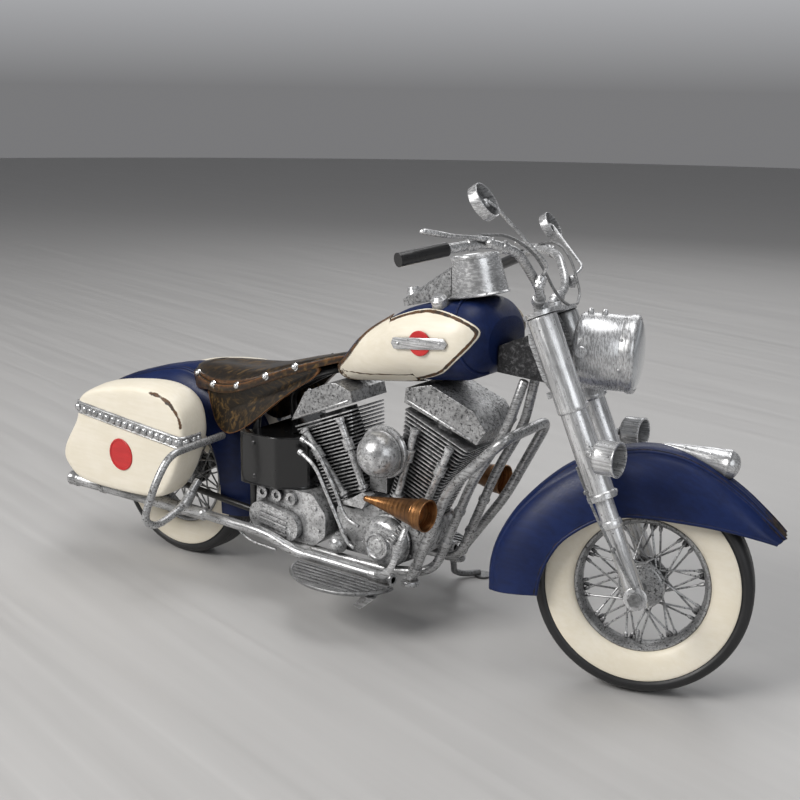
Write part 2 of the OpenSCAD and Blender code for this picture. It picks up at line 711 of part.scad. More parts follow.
module headlight_shell() color(silver) steered() {
  rod([light_from, 0, head_z], [light_to, 0, head_z], light_r);
  rod([light_from - 1.6, 0, head_z], [light_from, 0, head_z], light_r - 6, light_r);
  for (s = [-1, 1]) translate([234, s * 17.5 - 1.9, head_z - 3]) cube([6, 3.8, 6]);
}

module headlight_lens() color("#d8dadb") steered() {
  rod([light_to + 0.1, 0, head_z], [light_to + 3.2, 0, head_z], light_r + 0.3);
  rod([light_to + 3.2, 0, head_z], [light_to + 4.8, 0, head_z], light_r - 0.9, light_r - 3);
  rod([light_to + 4.8, 0, head_z], [light_to + 6, 0, head_z], light_r - 3, light_r - 7.5);
}

// Open cups on short arms, both aimed a little to the right
lamp_aim = [cos(17), -sin(17), 0];
module passing_lamps() color(silver) steered() for (s = [-1, 1]) {
  c = [258.5, s * 43, 104.3];
  difference() {
    rod(c - 8.5 * lamp_aim, c + 1.5 * lamp_aim, 7);
    rod(c - 6 * lamp_aim, c + 3 * lamp_aim, 6.1);
  }
  rod(c - 8.7 * lamp_aim - [0.9, 0, 0.4], [245.6, s * 33.4, 104], 1.6);
}

bar_right = [
  [216.6, -16, 160.8], [220, -27, 166], [219, -35, 171], [213, -46, 182], [203, -57, 184.6],
  [192, -69, 181.4], [178, -86, 176]
];

module handlebar() color(silver) steered() both_sides()
  tube(bend(bar_right, 4), 1.95);

module grips() color(black) steered() for (s = [-1, 1]) {
  v = unit(bar_right[6] - bar_right[5]);
  a = bar_right[5] + 2 * v;
  b = bar_right[6] + 1.5 * v;
  difference() {
    rod([a[0], s * a[1], a[2]], [b[0], s * b[1], b[2]], 2.75);
    rod([a[0], s * a[1], a[2]] - 4 * [v[0], s * v[1], v[2]], [bar_right[6][0], s * bar_right[6][1], bar_right[6][2]],
        2.05);
  }
}

module levers() color(silver) steered() both_sides() {
  tube(bend([[204.5, -60, 185.8], [200, -64.5, 186], [192, -73.5, 186], [184.5, -83, 186.8]], 3), 1.1, 10);
  rod([205, -61.4, 185.4], [205.8, -60.4, 183.8], 1.8);
}

// Each mirror: its side, the middle of its cup and its radius
mirror_cups = [[-1, [203.2, -69, 199.4], 7.3], [1, [203.4, 68.6, 195.6], 6.7]];
mirror_dir = unit([0.81, 0, 0.58]);

module mirrors() color(silver) steered() for (m = mirror_cups) {
  s = m[0];
  c = m[1];
  rod([221, s * 38.2, 168.4], [222, s * 37.6, 173.4], 2.1);
  tube(bend([[222, s * 37.8, 173.2], [225, s * 43, 177.5], [207, s * 63, c[2] - 1.6],
             c + [1.6, -s * 2.4, 0.4]], 3), 0.75, 8);
  difference() {
    rod(c - 2.4 * mirror_dir, c + 2.4 * mirror_dir, m[2]);
    rod(c - 1.2 * mirror_dir, c + 4 * mirror_dir, m[2] - 0.8);
  }
}

module control_cables() color("#3b3c3e") steered() {
  tube(bend([[200, -62, 187], [210, -52, 187.5], [219, -41, 181], [226, -31, 168], [228, -20, 163.5],
             [229, -11, 161.8]], 5), 0.6, 8);
  tube(bend([[200, 62, 187], [210, 52, 187.5], [219, 41, 181], [226, 31, 168], [228, 20, 163.5],
             [229, 11, 161.8]], 5), 0.6, 8);
  tube(bend([[242, -33.4, 98], [251, -33.2, 80], [263, -32, 60], [269.5, -31.2, 50.6]], 6), 0.6, 8);
}

// A bullet lamp lying along the crown of the front fender, bedded in it
module fender_lamp() color(silver) steered() difference() {
  tube([[272, 0, 106.6], [274, 0, 106.5], [299, 0, 101.4], [299.4, 0, 101.3], [301.6, 0, 100.8],
        [303.6, 0, 100.3], [304.6, 0, 100]],
       [0.6, 1, 6.5, 5.9, 5, 3, 0.8], 20);
  translate([wheelbase, 0, 0]) fender_room(front_fender_line, 0.05);
}

// ---------------------------------------------------------------- stand

stand_pivot = [160, 21.8, 22.9];
stand_foot = [153, 62, 0];

module kickstand() color(dark_silver) place() {
  tube(bend([stand_pivot, [145, 46, 6], [146, 53, 2.4], [152, 61, 2.4]], 4), 1.6);
  translate(stand_foot) cylinder(h = 1.4, r = 4.5);
}

frame();
neck_casting();
rear_axle();
crankcase();
cam_cover();
primary_cover();
filter_ball();
gearbox_case();
gearbox_cover();
ring_bolts();
oil_tank();
wire_lines();
cylinder_rear();
cylinder_front();
rocker_box_rear();
rocker_box_front();
pushrod_tubes();
carburettor();
air_cleaner();
horns();
engine_guard();
exhaust_right();
exhaust_left();
footboard_right();
footboard_left();
brake_pedal();
pedal_spring();
fuel_tank();
tank_panels();
tank_badges();
console();
speedo_pod();
filler_caps();
saddle();
saddle_studs();
rear_fender();
saddlebag_right();
saddlebag_left();
bag_straps();
bag_guards();
rear_rim();
rear_spokes();
rear_tyre();
front_rim();
front_spokes();
front_tyre();
fork_stem();
fork_legs();
headlight_shell();
headlight_lens();
passing_lamps();
handlebar();
grips();
levers();
mirrors();
control_cables();
front_fender();
fender_lamp();
front_axle();
kickstand();
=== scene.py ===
from math import copysign, cos, exp, pi, radians, sin, sqrt

import bmesh
import bpy
from mathutils import Matrix, Vector
from mathutils.bvhtree import BVHTree


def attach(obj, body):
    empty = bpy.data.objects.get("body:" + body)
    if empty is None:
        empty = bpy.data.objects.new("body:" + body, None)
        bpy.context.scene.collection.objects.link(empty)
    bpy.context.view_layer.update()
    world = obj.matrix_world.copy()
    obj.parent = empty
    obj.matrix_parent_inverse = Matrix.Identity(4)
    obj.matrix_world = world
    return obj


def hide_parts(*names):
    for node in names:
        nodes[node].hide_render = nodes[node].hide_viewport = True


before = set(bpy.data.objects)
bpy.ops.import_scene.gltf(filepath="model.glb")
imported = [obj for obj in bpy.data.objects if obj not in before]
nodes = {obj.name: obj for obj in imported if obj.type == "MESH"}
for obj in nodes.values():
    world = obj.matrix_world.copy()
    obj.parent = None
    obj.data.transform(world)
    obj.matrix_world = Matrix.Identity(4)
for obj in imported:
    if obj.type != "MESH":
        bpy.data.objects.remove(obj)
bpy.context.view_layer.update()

# ------------------------------------------------------------------ places
# All lengths below are millimetres in the machine's own frame: x forward from the rear axle,
# y to the left, z up. still(), steered() and forked() turn them into the part's frame in metres:
# still() for the machine, steered() for what turns with the fork, forked() for places along the fork.

MIDDLE = Vector((126.5, -9.0, 0.0))
RAKE = radians(24)
STEER = radians(19.5)
FOOT = Vector((266.3, 0.0, 46.4))
FRONT = Vector((270.0, 0.0, 46.4))
REAR = Vector((0.0, 0.0, 46.0))
HEAD = Vector((-sin(RAKE), 0.0, cos(RAKE)))
TURN = Matrix.Rotation(STEER, 3, HEAD)
LEAN = Matrix.Rotation(-RAKE, 3, "Y")


def still(p):
    return (Vector(p) - MIDDLE) / 1000


def steered(p):
    return still(FOOT + TURN @ (Vector(p) - FOOT))


def forked(p):
    return steered(FRONT + LEAN @ Vector(p))


def spline(points, n=8, closed=False):
    """Catmull-Rom through rows of numbers."""
    rows = [tuple(p) for p in points]
    count = len(rows)
    out = []
    for i in range(count if closed else count - 1):
        if closed:
            a, b, c, d = (rows[(i + k - 1) % count] for k in range(4))
        else:
            a, b, c, d = (rows[min(max(i + k - 1, 0), count - 1)] for k in range(4))
        for k in range(n):
            t = k / n
            out.append(
                tuple(
                    0.5 * (2 * q + (r - p) * t + (2 * p - 5 * q + 4 * r - s) * t * t
                        + (3 * q - p - 3 * r + s) * t**3)
                    for p, q, r, s in zip(a, b, c, d)
                )
            )
    if not closed:
        out.append(rows[-1])
    return out


def bend(points, r, n=8):
    """A route with rounded corners."""
    p = [Vector(q) for q in points]
    out = [p[0]]
    for i in range(1, len(p) - 1):
        a = p[i] + (p[i - 1] - p[i]).normalized() * min(r, (p[i - 1] - p[i]).length * 0.48)
        b = p[i] + (p[i + 1] - p[i]).normalized() * min(r, (p[i + 1] - p[i]).length * 0.48)
        for k in range(n + 1):
            t = k / n
            out.append(a * (1 - t) ** 2 + p[i] * 2 * t * (1 - t) + b * t * t)
    out.append(p[-1])
    return out


def side(p, s):
    return (p[0], p[1] * s, p[2])


# ------------------------------------------------------------------ mesh building


def collar(r, half, cut=0.4, edge=0.3):
    """Profile of a short ring with chamfered ends."""
    return [(r - cut, -half), (r, edge - half), (r, half - edge), (r - cut, half)]


def dome(r, base, rise, angles):
    """Profile of a round cap, read at so many degrees above its foot."""
    return [(r * cos(radians(a)), base + rise * sin(radians(a))) for a in angles]


class Build:
    """Collects closed shapes and makes one piece of them."""

    def __init__(self):
        self.verts, self.faces, self.mats, self.wear = [], [], [], []

    def add(self, verts, faces, mi=0, wear=0.0):
        base = len(self.verts)
        self.verts += [Vector(p) for p in verts]
        self.wear += list(wear) if isinstance(wear, (list, tuple)) else [wear] * len(verts)
        self.faces += [[base + i for i in f] for f in faces]
        self.mats += list(mi) if isinstance(mi, (list, tuple)) else [mi] * len(faces)

    def skin(self, rings, mi=0, closed=True, caps=True, wear=0.0, ring_mats=None):
        """Joins a row of rings, all with the same number of points."""
        n = len(rings[0])
        faces, mats = [], []
        for i in range(len(rings) - 1):
            for k in range(n if closed else n - 1):
                j = (k + 1) % n
                faces.append([i * n + k, i * n + j, (i + 1) * n + j, (i + 1) * n + k])
                mats.append(ring_mats[i] if ring_mats else mi)
        if caps:
            faces.append(list(range(n)))
            faces.append([(len(rings) - 1) * n + k for k in range(n)])
            mats += [mats[0] if ring_mats else mi, mats[-1] if ring_mats else mi]
        self.add([p for r in rings for p in r], faces, mats, wear)

    def lathe(self, profile, origin, axis, segs=64, mi=0, ring_mats=None, wear=0.0):
        """profile: (radius, along) from one end to the other."""
        origin, axis = Vector(origin), Vector(axis).normalized()
        u = axis.orthogonal().normalized()
        v = axis.cross(u)
        rings = [
            [
                origin + axis * z + (u * cos(a) + v * sin(a)) * max(r, 0.02)
                for a in (2 * pi * k / segs for k in range(segs))
            ]
            for r, z in profile
        ]
        self.skin(rings, mi, ring_mats=ring_mats, wear=wear)

    def tube(self, route, r, sides=20, mi=0):
        """A round rod along a route, with softly closed ends."""
        p = [Vector(q) for q in route]
        radii = list(r) if isinstance(r, (list, tuple)) else [r] * len(p)
        tangents = [
            (p[min(i + 1, len(p) - 1)] - p[max(i - 1, 0)]).normalized() for i in range(len(p))
        ]
        normal = tangents[0].orthogonal().normalized()
        rings = []
        for i, q in enumerate(p):
            t = tangents[i]
            normal = (normal - t * normal.dot(t)).normalized()
            b = t.cross(normal)

            def ring(at, rad, normal=normal, b=b):
                return [
                    at + (normal * cos(a) + b * sin(a)) * rad
                    for a in (2 * pi * k / sides for k in range(sides))
                ]

            if i == 0:
                rings += [ring(q, radii[0] * 0.62), ring(q + t * radii[0] * 0.12, radii[0] * 0.9)]
                q = q + t * radii[0] * 0.3
            if i == len(p) - 1:
                rings += [
                    ring(q - t * radii[i] * 0.3, radii[i]),
                    ring(q - t * radii[i] * 0.12, radii[i] * 0.9),
                    ring(q, radii[i] * 0.62),
                ]
            else:
                rings.append(ring(q, radii[i]))
        self.skin(rings, mi)

    def bolt(self, at, axis, r=1.2, h=0.9, sides=6, mi=0):
        """A small hexagonal head with a chamfered top, on a round washer."""
        axis = Vector(axis).normalized()
        self.lathe([(r * 1.25, -0.25), (r * 1.25, 0.12)], at, axis, 16, mi)
        self.lathe([(r, 0), (r, h * 0.8), (r * 0.82, h)], at, axis, sides, mi)

    def make(self, name, mats, replaces=(), slot=None, angle=34, body="chassis", put=still):
        """One object riding on a body, in place of the CAD nodes named; edges above the angle stay sharp."""
        mesh = bpy.data.meshes.new(name)
        mesh.from_pydata([put(p) for p in self.verts], [], self.faces)
        bm = bmesh.new()
        bm.from_mesh(mesh)
        layer = bm.verts.layers.float.new("wear")
        for v, w in zip(bm.verts, self.wear):
            v[layer] = w
        for f, m in zip(bm.faces, self.mats):
            f.material_index = m
            f.smooth = True
        bmesh.ops.remove_doubles(bm, verts=bm.verts, dist=2e-6)
        bmesh.ops.dissolve_degenerate(bm, edges=bm.edges, dist=1e-7)
        bmesh.ops.recalc_face_normals(bm, faces=bm.faces)
        for e in bm.edges:
            if len(e.link_faces) == 2 and e.calc_face_angle(0) > radians(angle):
                e.smooth = False
        bm.to_mesh(mesh)
        bm.free()
        obj = bpy.data.objects.new(name, mesh)
        bpy.context.collection.objects.link(obj)
        for m in mats if isinstance(mats, (list, tuple)) else [mats]:
            mesh.materials.append(m)
        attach(obj, body)
        if replaces:
            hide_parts(*([replaces] if isinstance(replaces, str) else replaces))
        return obj


def soften(obj, width, angle=32, segments=2):
    """Rounds hard edges by so many millimetres."""
    mod = obj.modifiers.new("soft_edges", "BEVEL")
    mod.width = width / 1000
    mod.segments = segments
    mod.limit_method = "ANGLE"
    mod.angle_limit = radians(angle)
    mod.harden_normals = True
    mod.use_clamp_overlap = True


# ------------------------------------------------------------------ materials


class Paint:
    """A Principled material with a few shortcuts for its nodes."""

    def __init__(self, name, color, rough=0.5, metal=0.0, coat=0.0, coat_rough=0.1, spec=0.5, sheen=0.0):
        self.mat = bpy.data.materials.new(name)
        self.mat.use_nodes = True
        self.tree = self.mat.node_tree
        self.shader = self.tree.nodes["Principled BSDF"]
        for key, value in (
            ("Base Color", (*color, 1)), ("Roughness", rough), ("Metallic", metal), ("Coat Weight", coat),
            ("Coat Roughness", coat_rough), ("Specular IOR Level", spec), ("Sheen Weight", sheen),
        ):
            self.shader.inputs[key].default_value = value
        self.mat.diffuse_color = (*color, 1)

    def node(self, kind, **fields):
        n = self.tree.nodes.new(kind)
        for key, value in fields.items():
            setattr(n, key, value)
        return n

    def set(self, n, key, value):
        if isinstance(value, bpy.types.NodeSocket):
            self.tree.links.new(value, n.inputs[key])
        else:
            n.inputs[key].default_value = value

    def coords(self, scale=(1, 1, 1), turn=(0, 0, 0)):
        """Object coordinates in millimetres, turned and then stretched."""
        c = self.node("ShaderNodeTexCoord")
        a = self.node("ShaderNodeMapping")
        self.set(a, "Vector", c.outputs["Object"])
        a.inputs["Rotation"].default_value = turn
        b = self.node("ShaderNodeVectorMath", operation="MULTIPLY")
        self.set(b, 0, a.outputs[0])
        b.inputs[1].default_value = tuple(1000 * s for s in scale)
        return b.outputs[0]

    def noise(self, where, scale, detail=3.0, rough=0.5, distort=0.0):
        n = self.node("ShaderNodeTexNoise")
        self.set(n, "Vector", where)
        for key, value in (("Scale", scale), ("Detail", detail), ("Roughness", rough),
                ("Distortion", distort)):
            n.inputs[key].default_value = value
        return n.outputs["Fac"]

    def step(self, value, low, high, a=0.0, b=1.0):
        n = self.node("ShaderNodeMapRange", interpolation_type="SMOOTHSTEP")
        self.set(n, "Value", value)
        for key, v in (("From Min", low), ("From Max", high), ("To Min", a), ("To Max", b)):
            n.inputs[key].default_value = v
        return n.outputs[0]

    def calc(self, op, a, b=0.0):
        n = self.node("ShaderNodeMath", operation=op, use_clamp=op in ("ADD", "MULTIPLY"))
        self.set(n, 0, a)
        self.set(n, 1, b)
        return n.outputs[0]

    def times(self, a, b):
        return self.calc("MULTIPLY", a, b)

    def plus(self, a, b):
        return self.calc("ADD", a, b)

    def mix(self, fac, a, b):
        n = self.node("ShaderNodeMix", data_type="RGBA")
        self.set(n, 0, fac)
        self.set(n, 6, (*a, 1) if isinstance(a, tuple) else a)
        self.set(n, 7, (*b, 1) if isinstance(b, tuple) else b)
        return n.outputs[2]

    def edges(self, radius, low=0.02, high=0.25):
        """Near 1 along hard edges, 0 on open surfaces."""
        b = self.node("ShaderNodeBevel", samples=6)
        b.inputs["Radius"].default_value = radius / 1000
        g = self.node("ShaderNodeNewGeometry")
        d = self.node("ShaderNodeVectorMath", operation="DOT_PRODUCT")
        self.set(d, 0, b.outputs[0])
        self.set(d, 1, g.outputs["Normal"])
        return self.step(self.calc("SUBTRACT", 1.0, d.outputs["Value"]), low, high)

    def hollows(self, reach, low=0.25, high=0.85):
        """Near 1 in corners and between close pieces, where less light reaches: the mask for painted shade.
        """
        a = self.node("ShaderNodeAmbientOcclusion", samples=8)
        a.inputs["Distance"].default_value = reach / 1000
        return self.step(a.outputs["AO"], low, high, 1.0, 0.0)

    def wear(self):
        a = self.node("ShaderNodeAttribute", attribute_name="wear")
        return a.outputs["Fac"]

    def color(self, value):
        self.set(self.shader, "Base Color", value)

    def rough(self, value):
        self.set(self.shader, "Roughness", value)

    def metal(self, value):
        self.set(self.shader, "Metallic", value)

    def bump(self, height, strength=0.3, depth=0.1):
        n = self.node("ShaderNodeBump")
        n.inputs["Strength"].default_value = strength
        n.inputs["Distance"].default_value = depth / 1000
        self.set(n, "Height", height)
        self.set(self.shader, "Normal", n.outputs[0])


FORK_TURN = (0.0, RAKE, -STEER)


def silver(name, bright=0.56, rough=0.36, corner_shade_amount=0.8, fleck=0.62, streak=(0.05, 1.2, 1.2), turn=(0, 0, 0),
           tint=(1.0, 1.005, 1.015), reach=5.0, pits=0.16, dark=(0.028, 0.028, 0.03), edge_highlight=0.35,
           blotch=0.6):
    """Silver paint over tin: brushed one way, painted shade in the corners, dark flecks, painted highlights
    along the edges.
    """
    p = Paint(name, tuple(bright * t for t in tint), rough, 0.85)
    flat = p.coords()
    brushed = p.coords(streak, turn)
    lines = p.noise(brushed, 1.0, 5, 0.6)
    cloud = p.noise(flat, 0.09, 4, 0.6)
    grain = p.noise(flat, 0.9, 5, 0.68)
    base = p.mix(p.step(lines, 0.3, 0.72), tuple(bright * 0.56 * t for t in tint),
        tuple(min(0.9, bright * 1.2) * t for t in tint))
    base = p.mix(p.step(cloud, 0.35, 0.7, 0.0, blotch), base, tuple(bright * 0.36 * t for t in tint))
    # painted highlight: a near-white tone along hard edges
    base = p.mix(p.times(p.edges(0.55), edge_highlight), base, (0.9, 0.9, 0.92))
    spots = p.step(grain, fleck - 0.025, fleck + 0.035)
    # painted shade: darker in corners and between close pieces, added to the real dark flecks
    corner_shade = p.times(p.hollows(reach), p.step(p.noise(flat, 0.3, 4, 0.65), 0.2, 0.6, 0.35, 1.0))
    darkening = p.plus(spots, p.times(corner_shade, corner_shade_amount))
    p.color(p.mix(darkening, base, dark))
    p.metal(p.step(darkening, 0.0, 1.0, 0.62, 0.1))
    p.rough(p.step(p.plus(lines, p.times(darkening, 0.5)), 0.3, 1.0, rough - 0.1, rough + 0.25))
    p.bump(p.plus(p.times(lines, 0.5), p.times(grain, 0.5)), 0.35, pits)
    return p.mat


def enamel(name, shade, light, worn, rough=0.36, coat=0.25, wear_radius=0.9, wear_amount=1.0,
        darkening=(0.004, 0.005, 0.01),
           hollow_shade_amount=0.6, pits=0.05, patch=0.46, spec=0.5):
    """Brushed-on paint, rubbed through along its edges, with painted shade in its corners."""
    p = Paint(name, shade, rough, 0.0, coat, 0.25, spec)
    flat = p.coords()
    cloud = p.noise(flat, 0.05, 3, 0.6)
    stroke = p.noise(p.coords((0.06, 0.9, 0.5)), 1.0, 4, 0.6)
    grain = p.noise(flat, 1.6, 3, 0.6)
    base = p.mix(p.step(p.plus(p.times(cloud, 0.55), p.times(stroke, 0.45)), 0.35, 0.66), shade, light)
    # painted shade: darker in corners and between close pieces
    base = p.mix(p.times(p.hollows(5.0, 0.2, 0.8), hollow_shade_amount), base, darkening)
    rub = p.noise(flat, 0.24, 5, 0.62)
    edge = p.times(p.plus(p.edges(wear_radius), p.wear()), wear_amount)
    mask = p.times(p.step(p.plus(p.times(edge, 0.5), p.times(rub, 0.62)), 0.6, 0.72), p.step(edge, 0.05, 0.3))
    tone = p.mix(p.step(p.noise(flat, 0.35, 3, 0.6), patch, patch + 0.12), worn[0], worn[1])
    p.color(p.mix(mask, base, tone))
    p.rough(p.step(p.plus(grain, p.times(mask, 0.6)), 0.25, 1.1, rough - 0.06, rough + 0.28))
    p.bump(p.calc("SUBTRACT", p.plus(p.times(stroke, 0.6), p.times(grain, 0.25)), p.times(mask, 0.5)), 0.4,
        pits + 0.1)
    return p.mat


BROWN = (0.10, 0.045, 0.014)
SOOT = (0.010, 0.009, 0.009)

# the ninth and tenth arguments of an enamel are the tone and strength of its painted corner shade
navy = enamel("navy_paint", (0.0030, 0.0095, 0.050), (0.0052, 0.0165, 0.082), (SOOT, (0.045, 0.028, 0.016)),
    0.44, 0.05, 0.8,
              spec=0.28)
cream = enamel("cream_paint", (0.80, 0.735, 0.60), (0.86, 0.80, 0.68), (BROWN, (0.03, 0.018, 0.010)), 0.42,
    0.12, 1.1, 1.0, (0.16, 0.085, 0.035), 0.75, 0.03)
whitewall = enamel("cream_sidewall", (0.79, 0.72, 0.58), (0.84, 0.78, 0.66),
    ((0.40, 0.33, 0.24), (0.62, 0.56, 0.46)), 0.45, 0.08, 0.5, 0.5, (0.26, 0.21, 0.15), 0.5, 0.02)
red = enamel("badge_red", (0.50, 0.012, 0.014), (0.62, 0.020, 0.020), (SOOT, (0.12, 0.01, 0.01)), 0.35, 0.3,
    0.3, 0.7)
# the fourth argument of each silver is the strength of its painted corner shade
wash_silver = silver("wash_silver", 0.74, 0.33, 1.15, 0.60, (0.4, 0.5, 0.5), reach=10.0)
bright_steel = silver("bright_steel", 0.80, 0.30, 0.95, 0.63, reach=7.0)
leg_steel = silver("leg_steel", 0.88, 0.30, 0.9, 0.625, (0.6, 0.6, 0.06), FORK_TURN, reach=6.0, blotch=0.3)
drum_steel = silver("drum_steel", 0.74, 0.32, 0.95, 0.65, (2.0, 0.45, 0.45), (0.5, 0.35, -STEER), pits=0.08,
    reach=6.0, blotch=0.25)
pipe_steel = silver("pipe_steel", 0.58, 0.34, 0.7, 0.60, dark=(0.035, 0.028, 0.022))
dark_steel = silver("dark_steel", 0.30, 0.42, 0.9, 0.60, edge_highlight=0.55)
wheel_silver = silver("wheel_silver", 0.44, 0.38, 1.0, 0.58, (1.2, 1.2, 1.2), reach=4.5)
hammered = silver("hammered_silver", 0.50, 0.34, 1.1, 0.565, (0.5, 0.6, 0.6), pits=0.5)


def black(name, rough, coat, metal_edges, pits=0.05, tone=0.009):
    p = Paint(name, (tone, tone, tone * 1.1), rough, 0.0, coat, 0.12)
    flat = p.coords()
    grain = p.noise(flat, 1.3, 4, 0.6)
    cloud = p.noise(flat, 0.07, 3, 0.6)
    rub = p.times(p.times(p.edges(0.6), p.step(p.noise(flat, 0.4, 4, 0.6), 0.4, 0.6)), metal_edges)
    base = p.mix(cloud, (tone * 0.7, tone * 0.7, tone * 0.8), (tone * 2.1, tone * 2.1, tone * 2.2))
    p.color(p.mix(rub, base, (0.42, 0.42, 0.43)))
    p.metal(p.times(rub, 0.8))
    p.rough(p.step(p.plus(p.times(grain, 0.6), p.times(cloud, 0.4)), 0.25, 0.75, rough - 0.05, rough + 0.14))
    p.bump(grain, 0.3, pits)
    return p.mat


gloss_black = black("gloss_black", 0.16, 0.5, 0.4, 0.03, 0.004)
frame_black = black("frame_black", 0.33, 0.25, 1.0)
grip_black = black("grip_black", 0.30, 0.2, 0.1, 0.08)
tyre_black = black("tyre_black", 0.42, 0.0, 0.0, 0.12, 0.010)


def iron():
    p = Paint("cast_iron_dark", (0.10, 0.10, 0.105), 0.5, 0.6)
    flat = p.coords()
    rock = p.noise(flat, 0.55, 8, 0.72, 0.6)
    p.color(p.mix(p.step(rock, 0.48, 0.68), (0.03, 0.03, 0.032), (0.15, 0.15, 0.155)))
    p.rough(p.step(rock, 0.3, 0.7, 0.6, 0.36))
    p.bump(rock, 0.9, 1.0)
    return p.mat


def leather():
    p = Paint("saddle_leather", (0.02, 0.014, 0.009), 0.42, 0.0, 0.12, 0.3, 0.4)
    flat = p.coords()
    streak = p.noise(p.coords((0.55, 0.10, 0.28), (0.2, -0.35, 0.3)), 1.0, 6, 0.66, 0.4)
    cloud = p.noise(flat, 0.05, 3, 0.55)
    grain = p.noise(flat, 1.4, 5, 0.6)
    gold = p.times(p.step(streak, 0.47, 0.66), p.step(cloud, 0.34, 0.60, 0.25, 1.0))
    base = p.mix(gold, (0.014, 0.010, 0.007), (0.17, 0.098, 0.030))
    edge = p.times(p.plus(p.edges(0.9), p.wear()), p.step(p.noise(flat, 0.3, 4, 0.6), 0.33, 0.55, 0.25, 1.0))
    base = p.mix(p.times(edge, 0.8), base, (0.235, 0.098, 0.030))
    # painted shade: darker in corners and between close pieces
    base = p.mix(p.times(p.hollows(4.0, 0.2, 0.75), 0.6), base, (0.006, 0.005, 0.004))
    p.color(base)
    p.rough(p.step(p.plus(p.times(grain, 0.5), p.times(gold, 0.5)), 0.2, 0.9, 0.34, 0.55))
    p.bump(p.plus(p.times(streak, 0.5), p.times(grain, 0.5)), 0.5, 0.25)
    return p.mat


def brass():
    p = Paint("horn_brass", (0.42, 0.17, 0.05), 0.33, 0.9)
    flat = p.coords()
    rings = p.noise(p.coords((1.6, 0.08, 0.08)), 1.0, 5, 0.6)
    grain = p.noise(flat, 0.7, 5, 0.65)
    base = p.mix(p.step(rings, 0.3, 0.7), (0.15, 0.065, 0.024), (0.40, 0.20, 0.080))
    # dark specks in the grain, plus painted shade in the corners
    darkening = p.plus(p.times(p.hollows(4.0), 0.8), p.times(p.step(grain, 0.58, 0.68), 0.7))
    p.color(p.mix(darkening, base, (0.03, 0.016, 0.008)))
    p.metal(p.step(darkening, 0.0, 1.0, 0.9, 0.2))
    p.rough(p.step(rings, 0.3, 0.8, 0.28, 0.48))
    p.bump(rings, 0.3, 0.12)
    return p.mat


def chrome():
    p = Paint("stud_metal", (0.86, 0.86, 0.85), 0.16, 0.95)
    flat = p.coords()
    cloud = p.noise(flat, 0.5, 4, 0.6)
    # painted shade: darker in corners
    darkening = p.times(p.hollows(2.0), 0.8)
    p.color(p.mix(darkening, p.mix(cloud, (0.74, 0.74, 0.73), (0.93, 0.93, 0.92)), (0.05, 0.045, 0.04)))
    p.rough(p.step(cloud, 0.3, 0.7, 0.12, 0.24))
    p.bump(p.noise(flat, 1.2, 3, 0.5), 0.2, 0.04)
    return p.mat


def glass():
    p = Paint("lamp_glass", (0.60, 0.62, 0.64), 0.12, 0.55, 1.0, 0.04)
    flat = p.coords()
    cloud = p.noise(flat, 0.25, 4, 0.6)
    p.color(p.mix(cloud, (0.42, 0.44, 0.46), (0.80, 0.82, 0.84)))
    p.rough(p.step(cloud, 0.3, 0.7, 0.08, 0.2))
    p.bump(cloud, 0.2, 0.1)
    return p.mat


def mirror_glass():
    p = Paint("mirror_glass", (0.82, 0.83, 0.84), 0.07, 1.0)
    flat = p.coords()
    cloud = p.noise(flat, 0.3, 3, 0.5)
    p.color(p.mix(cloud, (0.70, 0.71, 0.72), (0.86, 0.87, 0.88)))
    p.rough(p.step(cloud, 0.3, 0.8, 0.05, 0.14))
    return p.mat


def dial():
    p = Paint("dial_face", (0.03, 0.03, 0.032), 0.35, 0.0, 0.6, 0.1)
    flat = p.coords()
    cloud = p.noise(flat, 0.6, 4, 0.6)
    p.color(p.mix(cloud, (0.018, 0.018, 0.02), (0.05, 0.05, 0.052)))
    p.bump(cloud, 0.2, 0.05)
    return p.mat


iron_mat, leather_mat, brass_mat = iron(), leather(), brass()
stud_mat, glass_mat, mirror_mat, dial_mat = chrome(), glass(), mirror_glass(), dial()

# ------------------------------------------------------------------ camera, lights, floor

camera_data = bpy.data.cameras.new("camera")
camera_data.lens = 55.35
camera_data.sensor_width = 36
camera_data.clip_start = 0.01
camera = bpy.data.objects.new("camera", camera_data)
bpy.context.collection.objects.link(camera)
back = Vector((0.5616, -0.7902, 0.2453)).normalized()
aim = Vector((0.0152, 0.009, 0.1066))
right = Vector((0, 0, 1)).cross(back).normalized()
upward = back.cross(right)
roll = radians(0.75)
right, upward = (
    right * cos(roll) + upward * sin(roll),
    upward * cos(roll) - right * sin(roll),
)
spin = Matrix((right, upward, back)).transposed()
distance = 0.5824
camera.matrix_world = Matrix.Translation(aim + back * distance) @ spin.to_4x4()
bpy.context.scene.camera = camera


def lamp(name, place, target, size, power, tint=(1, 1, 1)):
    data = bpy.data.lights.new(name, "AREA")
    data.shape = "RECTANGLE"
    data.size, data.size_y = size
    data.energy = power
    data.color = tint
    obj = bpy.data.objects.new(name, data)
    bpy.context.collection.objects.link(obj)
    obj.location = place
    obj.rotation_euler = (Vector(target) - Vector(place)).to_track_quat("-Z", "Y").to_euler()


lamp("key_light", (-0.5, -1.05, 0.95), (0, 0, 0.08), (0.8, 0.6), 17.5, (1.0, 0.985, 0.96))
lamp("fill_light", (1.25, -0.55, 0.7), (0.05, 0, 0.08), (0.8, 0.8), 4.0, (0.95, 0.975, 1.0))
lamp("top_light", (0.1, 0.15, 1.3), (0, 0, 0.1), (0.9, 0.6), 6.0)
lamp("back_light", (-0.3, 1.2, 0.8), (0, 0, 0.1), (1.0, 0.5), 3.5)

